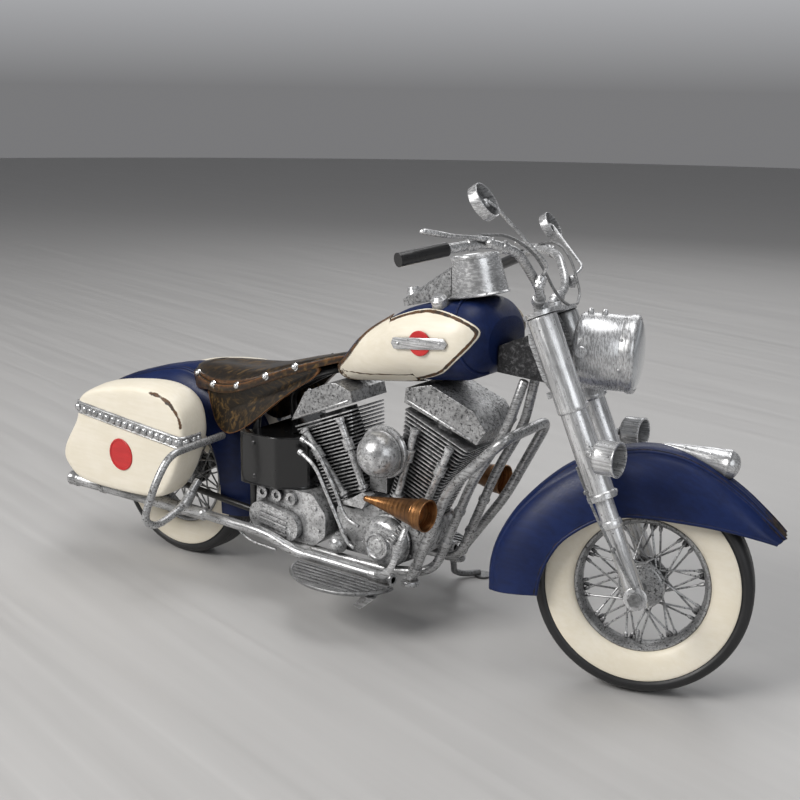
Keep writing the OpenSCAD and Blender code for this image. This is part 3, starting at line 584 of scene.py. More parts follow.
bpy.context.scene.view_settings.view_transform = "Standard"
world = bpy.data.worlds.new("studio")
bpy.context.scene.world = world
world.use_nodes = True
tree = world.node_tree
shade = tree.nodes["Background"]
where = tree.nodes.new("ShaderNodeTexCoord")
split = tree.nodes.new("ShaderNodeSeparateXYZ")
tree.links.new(where.outputs["Generated"], split.inputs[0])
ramp = tree.nodes.new("ShaderNodeValToRGB")
tree.links.new(split.outputs["Z"], ramp.inputs[0])
ramp.color_ramp.elements[0].position = 0.0
ramp.color_ramp.elements[0].color = (0.19, 0.19, 0.195, 1)
ramp.color_ramp.elements[1].position = 0.9
ramp.color_ramp.elements[1].color = (0.19, 0.192, 0.2, 1)
middle = ramp.color_ramp.elements.new(0.25)
middle.color = (0.11, 0.112, 0.116, 1)
glow = ramp.color_ramp.elements.new(0.09)
glow.color = (0.46, 0.465, 0.48, 1)
tree.links.new(ramp.outputs[0], shade.inputs[0])
shade.inputs["Strength"].default_value = 1.0


def floor():
    p = Paint("pale_floor", (0.48, 0.472, 0.465), 0.55, 0.0, 0.0)
    lines = p.noise(p.coords((0.004, 0.10, 0.10), (0, 0, 0.25)), 1.0, 3, 0.5, 0.5)
    p.color(p.mix(lines, (0.43, 0.422, 0.415), (0.53, 0.522, 0.515)))
    p.rough(p.step(lines, 0.3, 0.7, 0.45, 0.6))
    p.bump(lines, 0.12, 0.15)
    mesh = bpy.data.meshes.new("floor")
    count = 96
    bm = bmesh.new()
    bmesh.ops.create_circle(bm, cap_ends=True, segments=count, radius=4.0)
    bm.to_mesh(mesh)
    bm.free()
    mesh.materials.append(p.mat)
    obj = bpy.data.objects.new("floor", mesh)
    bpy.context.collection.objects.link(obj)


floor()

# ------------------------------------------------------------------ CAD nodes that stay

KEPT = {
    "neck_casting": (iron_mat, 0.5), "rear_axle": (dark_steel, 0.3), "front_axle": (dark_steel, 0.3),
    "crankcase": (wash_silver, 0.8), "primary_cover": (wash_silver, 1.2), "gearbox_case": (wash_silver, 1.2),
    "gearbox_cover": (wash_silver, 0.35), "ring_bolts": (wash_silver, 0.25), "oil_tank": (gloss_black, 0.6),
    "rocker_box_rear": (hammered, 0.5), "rocker_box_front": (hammered, 0.5),
    "pushrod_tubes": (wash_silver, 0.3), "carburettor": (dark_steel, 0.3), 
    "footboard_right": (dark_steel, 0.3), "footboard_left": (dark_steel, 0.3),
    "console": (hammered, 0.4), "filler_caps": (bright_steel, 0.5),
    "saddle_studs": (stud_mat, 0.0), "rear_rim": (wheel_silver, 0.25),
    "front_rim": (wheel_silver, 0.25), "rear_spokes": (wheel_silver, 0.0),
    "front_spokes": (wheel_silver, 0.0),
    "fork_stem": (bright_steel, 0.4), "grips": (grip_black, 0.4),
}


def dress(name, mat, width):
    """Gives a CAD node its material and rounds its edges; its own mesh stays as it is."""
    obj = nodes[name]
    mesh = obj.data
    if "custom_normal" in mesh.attributes:
        mesh.attributes.remove(mesh.attributes["custom_normal"])
    for s in obj.material_slots:
        s.material = mat
    if not obj.material_slots:
        mesh.materials.append(mat)
    for f in mesh.polygons:
        f.use_smooth = True
    weld = obj.modifiers.new("weld", "WELD")
    weld.merge_threshold = 2e-6
    if width:
        soften(obj, width)
    split = obj.modifiers.new("crisp", "EDGE_SPLIT")
    split.split_angle = radians(38)
    split.use_edge_sharp = False


for node_name, (node_mat, node_width) in KEPT.items():
    dress(node_name, node_mat, node_width)

# ------------------------------------------------------------------ fenders

REAR_FENDER = [
    (-71, 55, -57, 47, 11.2), (-66, 67, -50, 52, 14.4), (-56, 82, -44, 60, 16), (-42, 92.3, -37, 70, 16),
    (-20, 100, -24, 80, 16), (-4, 104, -11, 85.5, 16), (11, 105.6, 3, 87, 16), (29, 99.5, 15, 84.5, 16),
    (46, 85, 26, 77, 16), (57, 66, 34, 67, 16), (60, 50, 38.5, 52, 16), (57.5, 32.5, 40, 32.5, 16),
]
FRONT_FENDER = [
    (-65.7, 35, -43, 37.5, 16), (-66, 48, -42, 46.5, 16), (-62.5, 61, -38.5, 56, 16),
    (-54, 75.5, -33, 64, 16),
    (-39, 91, -22, 72.5, 16), (-22, 101, -12.5, 76, 16), (-5, 105.6, -2, 77.5, 16), (10, 104.8, 11, 77.5, 16),
    (23, 99.6, 25, 77, 16), (37, 90.6, 36, 76, 16), (48, 81, 45, 74.6, 15.2), (55, 74.2, 52.5, 72.8, 12.8),
]


TIP_STATIONS = 16.0
SHEET = 1.2


def fender(name, line, shift, put, body, ribs, band, tip_wear, node_name, bead_from):
    """One sheet arched over a wheel, with a rolled edge, a crown band and pressed ribs.

    A station is the crown's x and z, the edge's x and z and the half width, from the wheel's centre.
    A rib is its place and width as shares of the half width, its height and where along it starts."""
    b = Build()
    stations = spline(line, 8)
    steps = 120
    last = len(stations) - 1
    rings, wear = [], []
    for i, (cx, cz, ex, ez, w) in enumerate(stations):
        crown, edge = Vector((cx, cz)), Vector((ex, ez))
        out = (crown - edge).normalized()
        ring, worn = [], []
        for inner in (False, True):
            order = range(steps + 1) if not inner else range(steps, -1, -1)
            for k in order:
                a = pi * k / steps
                c, s = cos(a), sin(a) if 0 < k < steps else 0.0
                grow = -SHEET if inner else 0.0
                if not inner:
                    share = i / last
                    for at, high, wide, start in ribs:
                        if share > start:
                            fade = min(1.0, (share - start) / 0.08)
                            grow += high * fade * exp(-(((abs(c) - at) / wide) ** 2))
                    if abs(c) < band:
                        grow += 0.5
                up, lat = s**0.85, copysign(abs(c) ** 0.7, c)
                q = edge + (crown + out * grow - edge) * up
                ring.append((q.x + shift, (w + min(grow, 0) + (0.5 * grow if grow > 0 else 0)) * lat, q.y))
                near = min(1.0, 1.35 * max(0.0, 1 - (last - i) / TIP_STATIONS)) * tip_wear
                near *= 1.0 if abs(c) < band + 0.12 else 0.35
                low = 0.55 if k in (0, 1, steps - 1, steps) else 0.0
                rib = 0.42 * tip_wear if not inner and grow > 0.9 else 0.0
                worn.append(min(1.0, max(near, low, rib)))
        rings.append(ring)
        wear += worn
    n = len(rings[0])
    b.skin(rings, caps=False, wear=wear)
    half = n // 2
    for base in (0, last * n):
        faces = [[base + k, base + k + 1, base + n - 2 - k, base + n - 1 - k] for k in range(half - 1)]
        b.faces += faces
        b.mats += [0] * len(faces)
    for s in (0, half - 1):
        route = [Vector(r[s]) - Vector((0, 0.5 * (1 if r[s][1] > 0 else -1), 0)) for r in rings]
        b.tube(route, 0.75, 10)
    for c in (band, -band):
        route = []
        for i, (cx, cz, ex, ez, w) in enumerate(stations):
            if i / last < bead_from:
                continue
            crown, edge = Vector((cx, cz)), Vector((ex, ez))
            out = (crown - edge).normalized()
            up = sqrt(1 - c * c) ** 0.85
            q = edge + (crown + out * 0.5 - edge) * up
            route.append(Vector((q.x + shift, (w + 0.2) * copysign(abs(c) ** 0.7, c), q.y)))
        b.tube(route, 0.8, 10)
    b.make(name, navy, node_name, "navy_paint", 50, body, put)


FRONT_RIBS = [(0.0, 0.8, 0.035, 0.55), (0.44, 1.25, 0.045, 0.3), (0.22, 0.7, 0.03, 0.62)]
fender("front_fender_sheet", FRONT_FENDER, 270, steered, "front_fork", FRONT_RIBS, 0.44, 1.0,
    "front_fender", 0.42)
REAR_RIBS = [(0.42, 1.1, 0.045, 0.0)]
fender("rear_fender_sheet", REAR_FENDER, 0, still, "chassis", REAR_RIBS, 0.42, 0.5, "rear_fender", 0.0)

# ------------------------------------------------------------------ wheels

TYRE = [
    (28.6, 5.2, 1), (28.9, 6.0, 0), (29.8, 6.9, 0), (31.4, 7.7, 0), (33.6, 8.25, 0), (36.4, 8.6, 0),
    (38.8, 8.72, 0),
    (40.2, 8.66, 0), (40.9, 8.5, 0), (41.2, 8.15, 1), (41.5, 8.3, 1), (42.1, 8.85, 1), (42.9, 8.95, 1),
    (43.9, 8.6, 1),
    (44.8, 8.0, 1), (45.4, 7.25, 1), (45.75, 6.4, 1), (45.9, 5.7, 1), (45.55, 5.45, 1), (45.55, 5.15, 1),
    (45.95, 4.9, 1), (46.0, 3.3, 1), (45.6, 3.05, 1), (45.6, 2.7, 1), (46.0, 2.45, 1), (46.0, 0.45, 1),
    (45.6, 0.2, 1),
]


def wheel(name, centre, put, body):
    profile = [(r, y) for r, y, m in TYRE] + [(r, -y) for r, y, m in reversed(TYRE)]
    kinds = [m for r, y, m in TYRE]
    skins = [kinds[i + 1] if i + 1 < len(kinds) else 1 for i in range(len(kinds))]
    skins += [kinds[len(kinds) - 1 - i] for i in range(len(kinds) - 1)]

    def hoop(r, y, segs):
        angles = (2 * pi * k / segs for k in range(segs))
        return [centre + Vector((r * cos(a), y, r * sin(a))) for a in angles]

    b = Build()
    rings = [hoop(r, y, 144) for r, y in profile]
    rings.append(rings[0])
    b.skin(rings, caps=False, ring_mats=skins + [1])
    b.make(name + "_tyre_body", [whitewall, tyre_black], name + "_tyre", "tyre_black", 40, body, put)
    # spoke nipples, hub bolts, rim beads and the valve
    d = Build()
    pairs = 10
    step = 2 * pi / pairs
    lean = radians(52)
    for s in (-1, 1):
        for way in (-1, 1):
            for i in range(pairs):
                a = step * i + (step / 4 if s > 0 else 0)
                hub = Vector((7.1 * cos(a), 7.1 * sin(a), s * (5.9 if way > 0 else 3.6)))
                tip = Vector((25.9 * cos(a + way * lean), 25.9 * sin(a + way * lean),
                    s * (1.6 if way > 0 else -0.4)))
                t = (tip - hub).normalized()
                q = tip - t * 2.6
                # wheel plane is x-z: the second coordinate of the sketch is the machine's -z
                at = centre + Vector((q.x, q.z, -q.y))
                d.lathe([(0.7, 0), (0.85, 0.3), (0.85, 1.6), (0.7, 2.4)], at, (t.x, t.z, -t.y), 8)
    for s in (-1, 1):
        d.lathe(
            [(9.4, 5.7), (9.9, 5.9), (10.0, 6.6), (9.9, 7.3), (9.5, 7.6), (8.9, 7.4), (8.6, 7.6),
                (8.2, 7.75), (7.7, 7.8),
             (7.6, 8.3), (7.2, 8.6), (4.6, 8.7), (4.5, 9.0), (3.6, 9.1)],
            centre, (0, s, 0), 64,
        )
        for i in range(6):
            a = 2 * pi * i / 6 + 0.3
            d.bolt(centre + Vector((5.9 * cos(a), s * 8.5, 5.9 * sin(a))), (0, s, 0), 0.6, 0.45)
    for s in (-1, 1):
        bead = ((27.0, 5.4), (27.4, 6.0), (28.2, 6.15), (28.75, 5.7), (28.6, 5.2), (27.5, 5.0))
        rings = [hoop(r, s * y, 96) for r, y in bead]
        rings.append(rings[0])
        d.skin(rings, caps=False)
    d.tube([centre + Vector((0, -1.5, -26)), centre + Vector((0, -1.6, -20.6))], 0.8, 12)
    d.make(name + "_wheel_details", wheel_silver, (), "wheel_silver", body=body, put=put)


wheel("rear", REAR, still, "rear_wheel")
wheel("front", FRONT, steered, "front_wheel")

# ------------------------------------------------------------------ tank, console and badges


TANK_BALLS = [(114, 2, 119.5, 5.5), (133, 8.5, 129, 11), (160, 10, 139, 16), (186, 8, 142.5, 18),
    (195, 3, 143, 14)]
TANK_FLOOR = [(100, 112.8), (120, 113.9), (152, 117.8), (168, 121), (185, 124), (195, 128), (199, 132),
    (212, 140)]
PANEL = [
    (113.5, 114.6), (111.5, 118.5), (119, 124), (128, 131), (137, 141), (152, 150), (169, 155.3),
    (187, 154.6),
    (196, 149.5), (194, 142.5), (186, 134), (176, 127.6), (154, 120.5), (130, 116.6),
]


def level(table, x):
    """Straight-line reading of a table of (x, value)."""
    for (x0, v0), (x1, v1) in zip(table, table[1:]):
        if x <= x1:
            return v0 + (v1 - v0) * max(0.0, (x - x0)) / (x1 - x0)
    return table[-1][1]


def inset_outline(points, d):
    out = []
    n = len(points)
    for i in range(n):
        a, b = Vector(points[i - 1]), Vector(points[(i + 1) % n])
        t = (b - a).normalized()
        normal = Vector((-t.y, t.x))
        p = Vector(points[i])
        if (Vector((0, 74)) - p).dot(normal) < 0:
            normal = -normal
        out.append(p + normal * d)
    return out


def tank():
    """A smooth egg over the hull of the tank's balls, flat along its floor line."""
    bm = bmesh.new()
    for x, y, z, r in TANK_BALLS:
        for s in (-1, 1):
            bmesh.ops.create_icosphere(bm, subdivisions=4, radius=r, matrix=Matrix.Translation((x, s * y, z)))
    hull = bmesh.ops.convex_hull(bm, input=bm.verts)
    loose = [g for g in hull["geom_interior"] if isinstance(g, bmesh.types.BMVert)]
    bmesh.ops.delete(bm, geom=loose, context="VERTS")
    skin = BVHTree.FromBMesh(bm)
    bm.free()
    count, around = 80, 96
    middle = [(b[0], b[2]) for b in TANK_BALLS]
    grid, xs = [], []
    for i in range(count + 1):
        x = 108.9 + 90.2 * (0.5 - 0.5 * cos(pi * i / count))
        zc = level([(108, 117.5)] + middle[1:] + [(210, 143)], x)
        row = []
        for k in range(around):
            a = 2 * pi * k / around
            d = Vector((0, cos(a), sin(a)))
            hit = skin.ray_cast(Vector((x, 0, zc)) + d * 80, -d)[0]
            row.append((hit - Vector((x, 0, zc))).length if hit is not None else 0.3)
        grid.append(row)
        xs.append((x, zc))
    for _ in range(10):
        grid = [
            [
                0.4 * grid[i][k] + 0.15 * (grid[i][k - 1] + grid[i][(k + 1) % around])
                + 0.15 * (grid[max(i - 1, 0)][k] + grid[min(i + 1, count)][k])
                for k in range(around)
            ]
            for i in range(count + 1)
        ]
    rings = []
    for (x, zc), row in zip(xs, grid):
        nose = max(0.0, (x - 187.0) / 12.1)
        shrink = sqrt(max(0.0, 1 - 0.42 * nose**2.4))
        ring = []
        for k, r in enumerate(row):
            a = 2 * pi * k / around
            z = zc + r * shrink * sin(a)
            ring.append((x, r * shrink * cos(a), max(z, level(TANK_FLOOR, x))))
        rings.append(ring)
    b = Build()
    b.skin(rings)
    obj = b.make("fuel_tank_shell", navy, "fuel_tank", "navy_paint", 50)
    verts = [Vector(v.co) * 1000 + MIDDLE for v in obj.data.vertices]
    return BVHTree.FromPolygons(verts, [tuple(f.vertices) for f in obj.data.polygons])


tank_tree = tank()


def panels():
    """A raised cream teardrop on each side, its painted edge rubbed brown in strokes."""
    outline = spline(PANEL, 7, True)
    hub = Vector((160, 138))
    b = Build()
    for s in (-1, 1):
        rings, wear = [], []
        for inset, share, lift, worn in (
            (0, 1, -0.6, 0.0), (0, 1, 0.7, 0.6), (0.3, 1, 0.98, 0.25), (0.75, 1, 1.05, 0.9),
            (1.5, 1, 1.05, 1.0), (2.0, 1, 1.05, 0.3),
            (2.3, 0.98, 1.05, 0), (2.3, 0.88, 1.05, 0), (2.3, 0.75, 1.05, 0), (2.3, 0.6, 1.05, 0),
            (2.3, 0.45, 1.05, 0),
            (2.3, 0.3, 1.05, 0), (2.3, 0.12, 1.05, 0),
        ):
            ring = []
            for x, z in inset_outline(outline, inset) if inset else outline:
                q = hub + (Vector((x, z)) - hub) * share
                hit, normal, _, _ = tank_tree.ray_cast(Vector((q.x, s * 60, q.y)), Vector((0, -s, 0)))
                if hit is None:
                    hit, normal, _, _ = tank_tree.find_nearest(Vector((q.x, s * 24, q.y)))
                if normal.y * s < 0:
                    normal = -normal
                ring.append(hit + normal * lift)
            rings.append(ring)
            wear += [worn] * len(outline)
        b.skin(rings, wear=wear)
    b.make("tank_cream_panels", cream, "tank_panels", "cream_paint", 50)


panels()


def tank_seam():
    b = Build()
    # a rolled seam that leans back over the shoulders
    route = []
    for k in range(0, 61):
        a = radians(-52 + 284 * k / 60)
        direction = Vector((0, cos(a), sin(a)))
        hit = tank_tree.ray_cast(Vector((189.5 - 8.0 * sin(a), 0, 141)) + direction * 60, -direction)[0]
        if hit is not None:
            route.append(hit + direction * 0.1)
    b.tube(route, 0.75, 10)
    # lower seam where the tank's two halves meet its floor
    for s in (-1, 1):
        route = []
        for k in range(0, 41):
            x = 118 + 74 * k / 40
            z = 114.6 + (x - 118) * 0.05 + max(0, x - 165) * 0.18
            hit = tank_tree.ray_cast(Vector((x, s * 60, z)), Vector((0, -s, 0)))[0]
            if hit is not None:
                route.append(hit)
        b.tube(route, 0.55, 8)
    b.make("tank_seams", navy, (), "navy_paint")


tank_seam()


def badges():
    """A red disc under a pointed grey bar, one on each side."""
    b = Build()
    for s in (-1, 1):
        b.lathe([(5.6, 0), (5.6, 0.6), (5.3, 0.85), (0.05, 0.95)], (171, s * 27.0, 142), (0, s, 0), 48, 0)
        tilt = Matrix.Rotation(radians(-6), 3, "Y")
        outline = [(-15, 0), (-13.6, 2.5), (0, 2.6), (13, 2.3), (14.6, 0), (13, -2.3), (0, -2.6),
            (-13.6, -2.5)]
        rings = []
        for y, shrink in ((27.4, 0.0), (28.35, 0.0), (28.6, 0.35)):
            rings.append(
                [
                    Vector((171, s * (y - 0.0022 * px * px), 142))
                    + tilt @ Vector((px * (1 - shrink / 14), 0, pz * (1 - shrink / 2.6)))
                    for px, pz in outline
                ]
            )
        b.skin(rings, 1)
        for px in (-11, 11):
            b.lathe([(0.7, 0), (0.7, 0.3), (0.4, 0.5)],
                Vector((171, s * (28.6 - 0.0022 * px * px), 142)) + tilt @ Vector((px, 0, 0)), (0, s, 0),
                12, 1)
    b.make("tank_badge_marks", [red, bright_steel], "tank_badges", "badge_red")


badges()


def speedo():
    b = Build()
    axis = Matrix.Rotation(radians(-10), 3, "Y") @ Vector((0, 0, 1))
    origin = Vector((184.5, 0, 161.6))
    b.lathe(
        [(13.5, -0.1), (13.7, 0.4), (13.3, 0.9), (12.9, 1.1), (12.2, 6), (11.35, 12), (10.75, 15.6),
            (10.7, 16.0),
         (11.05, 16.3), (11.1, 17.2), (10.7, 17.9), (9.9, 18.0), (9.4, 17.6), (9.3, 16.9)],
        origin, axis, 72, 0,
    )
    b.lathe([(9.35, 16.6), (9.35, 16.9), (0.05, 16.95)], origin, axis, 48, 1)
    u = axis.orthogonal().normalized()
    v = axis.cross(u)
    for i in range(25):
        a = radians(-120 + 10 * i)
        q = u * cos(a) + v * sin(a)
        w = axis.cross(q)
        inner = 6.6 if i % 4 == 0 else 7.4
        base = origin + axis * 16.95
        half = 0.16 if i % 4 == 0 else 0.1
        corners = [base + q * inner + w * half, base + q * 8.6 + w * half, base + q * 8.6 - w * half,
            base + q * inner - w * half]
        b.skin([corners, [c + axis * 0.12 for c in corners]], 2)
    q = (u * 0.5 + v * 0.85).normalized()
    w = axis.cross(q)
    base = origin + axis * 17.0
    corners = [base - q * 2 + w * 0.35, base + q * 7.2 + w * 0.08, base + q * 7.2 - w * 0.08,
        base - q * 2 - w * 0.35]
    b.skin([corners, [c + axis * 0.2 for c in corners]], 3)
    b.lathe([(0.9, 16.9), (0.9, 17.4), (0.5, 17.7)], origin, axis, 16, 0)
    for i in range(6):
        a = radians(60 * i + 30)
        q = u * cos(a) + v * sin(a)
        b.lathe([(0.65, 0), (0.65, 0.45), (0.35, 0.7)], origin + axis * 0.75 + q * 13.0, (q + axis * 0.5),
            10, 0)
    b.make("speedo_pod_body", [drum_still, dial_mat, cream, red], "speedo_pod", "bright_steel", 30)


drum_still = silver("pod_steel", 0.74, 0.28, 0.75, 0.655, (0.5, 0.5, 1.4))
speedo()

# ------------------------------------------------------------------ saddle

SADDLE = [
    (13, 3, 101.6, 104.2, 107), (16, 8.5, 101.2, 104, 108.6), (22, 12.5, 100.6, 103.8, 110.2),
    (30, 16.5, 99.6, 103, 111.2), (40, 19.8, 99.3, 102.8, 111.8), (52, 21.4, 100.6, 104, 112.4),
    (64, 21.2, 104.2, 107.4, 113.6), (76, 18.8, 109.2, 112.4, 116.6), (88, 14.6, 114, 117, 120),
    (100, 9.6, 118.4, 121, 123), (108, 6.5, 121, 123.4, 125.2), (113, 4.5, 122.4, 124.6, 126.2),
]


def saddle():
    stations = spline(SADDLE, 7)
    # the stuffed top, slightly pulled in at its sewn border
    b = Build()
    rings, wear = [], []
    for x, w, low, rim, top in stations:
        rise = top - rim
        ring, worn = [], []
        steps = 36
        for k in range(steps + 1):
            a = pi * k / steps
            c, s = cos(a), sin(a)
            y = w * copysign(abs(c) ** 0.8, c) * 0.985
            z = rim + rise * (max(s, 0.0) ** 0.75)
            dip = 0.55 * exp(-(((abs(c) - 0.86) / 0.07) ** 2))
            hollow = 0.5 * rise * 0.22 * exp(-((y / (0.35 * w + 0.5)) ** 2)) if 25 < x < 62 else 0.0
            ring.append((x, y, z - dip - hollow))
            worn.append(0.5 if abs(c) > 0.97 else 0.0)
        for y, z in ((-0.96, low + 0.3), (-0.5, low + 0.1), (0.5, low + 0.1), (0.96, low + 0.3)):
            ring.append((x, w * y, z))
            worn.append(0.0)
        rings.append(ring)
        wear += worn
    b.skin(rings, wear=wear)
    top = b.make("saddle_cushion", leather_mat, "saddle", "saddle_leather", 55)
    # border band with rolled edges, and the skirts
    e = Build()
    for s in (-1, 1):
        upper, lower = [], []
        for x, w, low, rim, _ in stations:
            deep = 3.5 * max(0.0, min(1.0, (34 - x) / 12)) * max(0.0, min(1.0, (x - 14) / 6))
            upper.append(Vector((x, s * (w + 0.45), rim + 0.5)))
            lower.append(Vector((x, s * (w + 0.35), low - 0.2 - deep)))
        rings, wear = [], []
        for u, l in zip(upper, lower):
            out = Vector((0, s, 0))
            ring = []
            for t, d in ((0, 0.5), (0.08, 0.95), (0.5, 0.8), (0.92, 0.95), (1, 0.5), (1, -0.5), (0.5, -0.6),
                    (0, -0.5)):
                ring.append(l.lerp(u, t) + out * d)
            rings.append(ring)
            wear += [0.35, 0.3, 0.0, 0.5, 0.8, 0, 0, 0]
        e.skin(rings, wear=wear)
        e.tube(upper, 0.55, 8)
    outline = spline(
        [(32, 101.3), (34.3, 92), (39, 82.5), (47.5, 78.3), (57, 81.2), (66, 87.2), (76, 95.8), (88, 105.8),
            (98, 113.5),
         (99, 118), (88, 115.2), (76, 110.6), (64, 105.6), (52, 102.4), (40, 101.2)], 6, True)
    widths = [(p[0], p[1]) for p in spline([(q[0], q[1]) for q in SADDLE], 10)]

    def half_width(x):
        return min(widths, key=lambda q: abs(q[0] - x))[1]

    for s in (-1, 1):
        centre = Vector((58, 0, 98))
        layers = []
        for inset, off in ((0.99, -2.2), (1.0, -1.2), (1.0, -0.25), (0.985, 0.12), (0.955, 0.0)):
            ring = []
            for x, z in outline:
                px, pz = centre.x + (x - centre.x) * inset, centre.z + (z - centre.z) * inset
                lean = -0.03 * max(0, 102 - pz)
                ring.append((px, s * (half_width(x) - 0.35 + off + lean), pz))
            layers.append(ring)
        count = len(outline)
        e.skin(layers, caps=True, wear=[0.0] * count + [1.0] * (3 * count) + [0.0] * count)
    e.make("saddle_skirts", leather_mat, (), "saddle_leather", 60)
    # a flat ring under each stud
    f = Build()
    for p in ((22.2, 12.4, 105), (40.3, 20.2, 103), (57.9, 21.5, 105.1), (74.8, 19.3, 112),
            (89.4, 14.2, 117.9)):
        for s in (-1, 1):
            f.lathe([(1.9, -0.35), (1.95, 0.1), (1.6, 0.3)], (p[0], s * (p[1] + 0.7), p[2]), (0, s, 0.12), 20)
    f.make("stud_washers", stud_mat, (), "stud_metal")


saddle()

# ------------------------------------------------------------------ saddlebags

BAG = [
    (-29, 43.6), (-44, 50), (-47, 60), (-36, 78), (-33, 90), (-23, 98.6), (4, 104), (26, 104.3), (38.5, 97.5),
    (43, 84), (40.5, 70), (31, 52), (18, 44.8),
]


bag_trees = {}


def bags():
    outline = spline(BAG, 8, True)
    n = len(outline)
    for s, node_name in ((-1, "saddlebag_right"), (1, "saddlebag_left")):
        b = Build()
        rings, wear = [], []
        slices = [
            (24.0, 7.5, 0), (24.3, 5.6, 0), (25.2, 4.2, 0), (26.6, 3.0, 0), (28.8, 1.7, 0), (32, 0.7, 0),
            (36, 0.15, 0),
            (40, 0.0, 0), (43, 0.0, 0), (44.8, 0.15, 0.2), (45.8, 0.5, 0.8), (46.4, 1.1, 1.0),
            (46.8, 2.0, 0.5),
            (47.0, 3.6, 0.0),
        ]
        for y, inset, worn in slices:
            ring = []
            for x, z in inset_outline(outline, inset):
                # the lid slopes down towards its outer crease
                lid = max(0.0, min(1.0, (z - 88) / 10.0))
                slope = max(0.0, min(1.0, (y - 27) / 19)) ** 1.5
                ring.append((x, s * y, z - 3.4 * lid * slope))
                top = 1.0 if z > 84 and x > 20 else 0.0
                wear.append(worn * top)
            rings.append(ring)
        for end, at in ((rings[0][:], 0), (rings[-1][:], 1)):
            hub = Vector((-3, s * (47.25 if at else 23.9), 72))
            for t in (0.12, 0.3, 0.5, 0.7, 0.9, 0.99):
                ring = [Vector(q).lerp(Vector((hub.x, end[0][1] + (hub.y - end[0][1]) * min(1, 2 * t),
                    hub.z)), t) for q in end]
                for q in ring:
                    q.y = end[0][1] + (hub.y - end[0][1]) * min(1, 2 * t)
                if at:
                    rings.append(ring)
                    wear += [0.0] * n
                else:
                    rings.insert(0, ring)
                    wear = [0.0] * n + wear
        b.skin(rings, wear=wear)
        bag_trees[s] = BVHTree.FromPolygons(b.verts, b.faces)
        b.make("saddlebag_shell_" + ("right" if s < 0 else "left"), cream, node_name, "cream_paint", 50)
    # a plain round mark on each bag
    m = Build()
    for s in (-1, 1):
        c = (-1, s * 47.1, 64.5)
        m.lathe([(8.4, 0), (8.4, 0.5), (8.15, 0.75), (7.5, 0.75), (7.3, 0.45), (0.05, 0.5)], c, (0, s, 0),
            56, 0)
    m.make("bag_round_marks", red, (), "badge_red")


bags()

# heights and thicknesses across the strap, with a rolled edge above and below
STRAP = [
    (-3.4, -0.3), (-3.3, 0.5), (-2.6, 0.95), (-2.1, 0.6), (2.1, 0.6), (2.6, 0.95), (3.3, 0.5), (3.4, -0.3),
    (2.4, -0.8), (-2.4, -0.8),
]
STUD_GAP = 4.5


def straps():
    """A studded strap round the outer face of each bag, wrapped over both corners."""
    b, k = Build(), Build()
    for s in (-1, 1):
        route = []
        for i in range(121):
            a = radians(176 - 172 * i / 120)
            d = Vector((cos(a), s * sin(a), 0))
            x = -3 + 42 * cos(a)
            for _ in range(3):
                foot = Vector((-3, s * 30, 81.5 - 0.0955 * (x - 4)))
                hit, normal, _, _ = bag_trees[s].ray_cast(foot + d * 90, -d)
                x = hit.x
            out = Vector((normal.x, normal.y, 0)).normalized()
            if out.dot(d) < 0:
                out = -out
            route.append((hit, out))
        b.skin([[q + out * off + Vector((0, 0, up)) for up, off in STRAP] for q, out in route])
        walked, due = 0.0, 2.0
        for (q, out), (q2, _) in zip(route, route[1:]):
            walked += (q2 - q).length
            if walked >= due:
                due += STUD_GAP
                k.lathe([(2.2, -0.3), (2.2, 0.5), *dome(2.1, 0.6, 1.7, range(0, 90, 15)), (0.05, 2.3)], q2,
                    out, 20)
    b.make("bag_strap_bands", bright_steel, "bag_straps", "bright_steel", 60)
    k.make("bag_strap_studs", stud_dark, (), "bright_steel", 60)


stud_dark = silver("stud_steel", 0.62, 0.25, 0.95, 0.66, reach=2.2)
straps()


# ------------------------------------------------------------------ tubes


def frame_tubes():
    dark, bare = Build(), Build()
    dark.tube([(199, 0, 137.5), (106, 0, 117.3)], 2.5, 20)
    for s in (-1, 1):
        post = [(106, 1, 117), (97, 5, 114.2), (63.8, 13, 97), (63.8, 17.5, 60), (63.8, 17.5, 27.5)]
        dark.tube(bend([side(p, s) for p in post], 7), 2, 18)
        down = [
            (63.8, 17.5, 28.5), (120, 17.5, 27.5), (150, 16, 27.5), (170, 10.5, 30), (190, 10.5, 79),
            (205, 8, 104),
            (211.5, 5, 127.5),
        ]
        bare.tube(bend([side(p, s) for p in down], 9), 2.2, 20)
        dark.tube([side(p, s) for p in ((63.8, 17.5, 40), (42, 18.6, 42), (-3, 18.6, 46))], 1.7, 16)
        dark.lathe(collar(4.2, 1.5), (0, s * 18.6, 46), (0, 1, 0), 32)
        for at in ((183.5, s * 10.5, 63), (176.5, s * 10.5, 46)):
            bare.lathe(collar(2.7, 1.2), at, (0.38, 0, 0.93), 24)
    dark.make("frame_black_tubes", frame_black, "frame", "frame_black")
    bare.make("frame_down_tubes", pipe_steel, (), "frame_black")


frame_tubes()


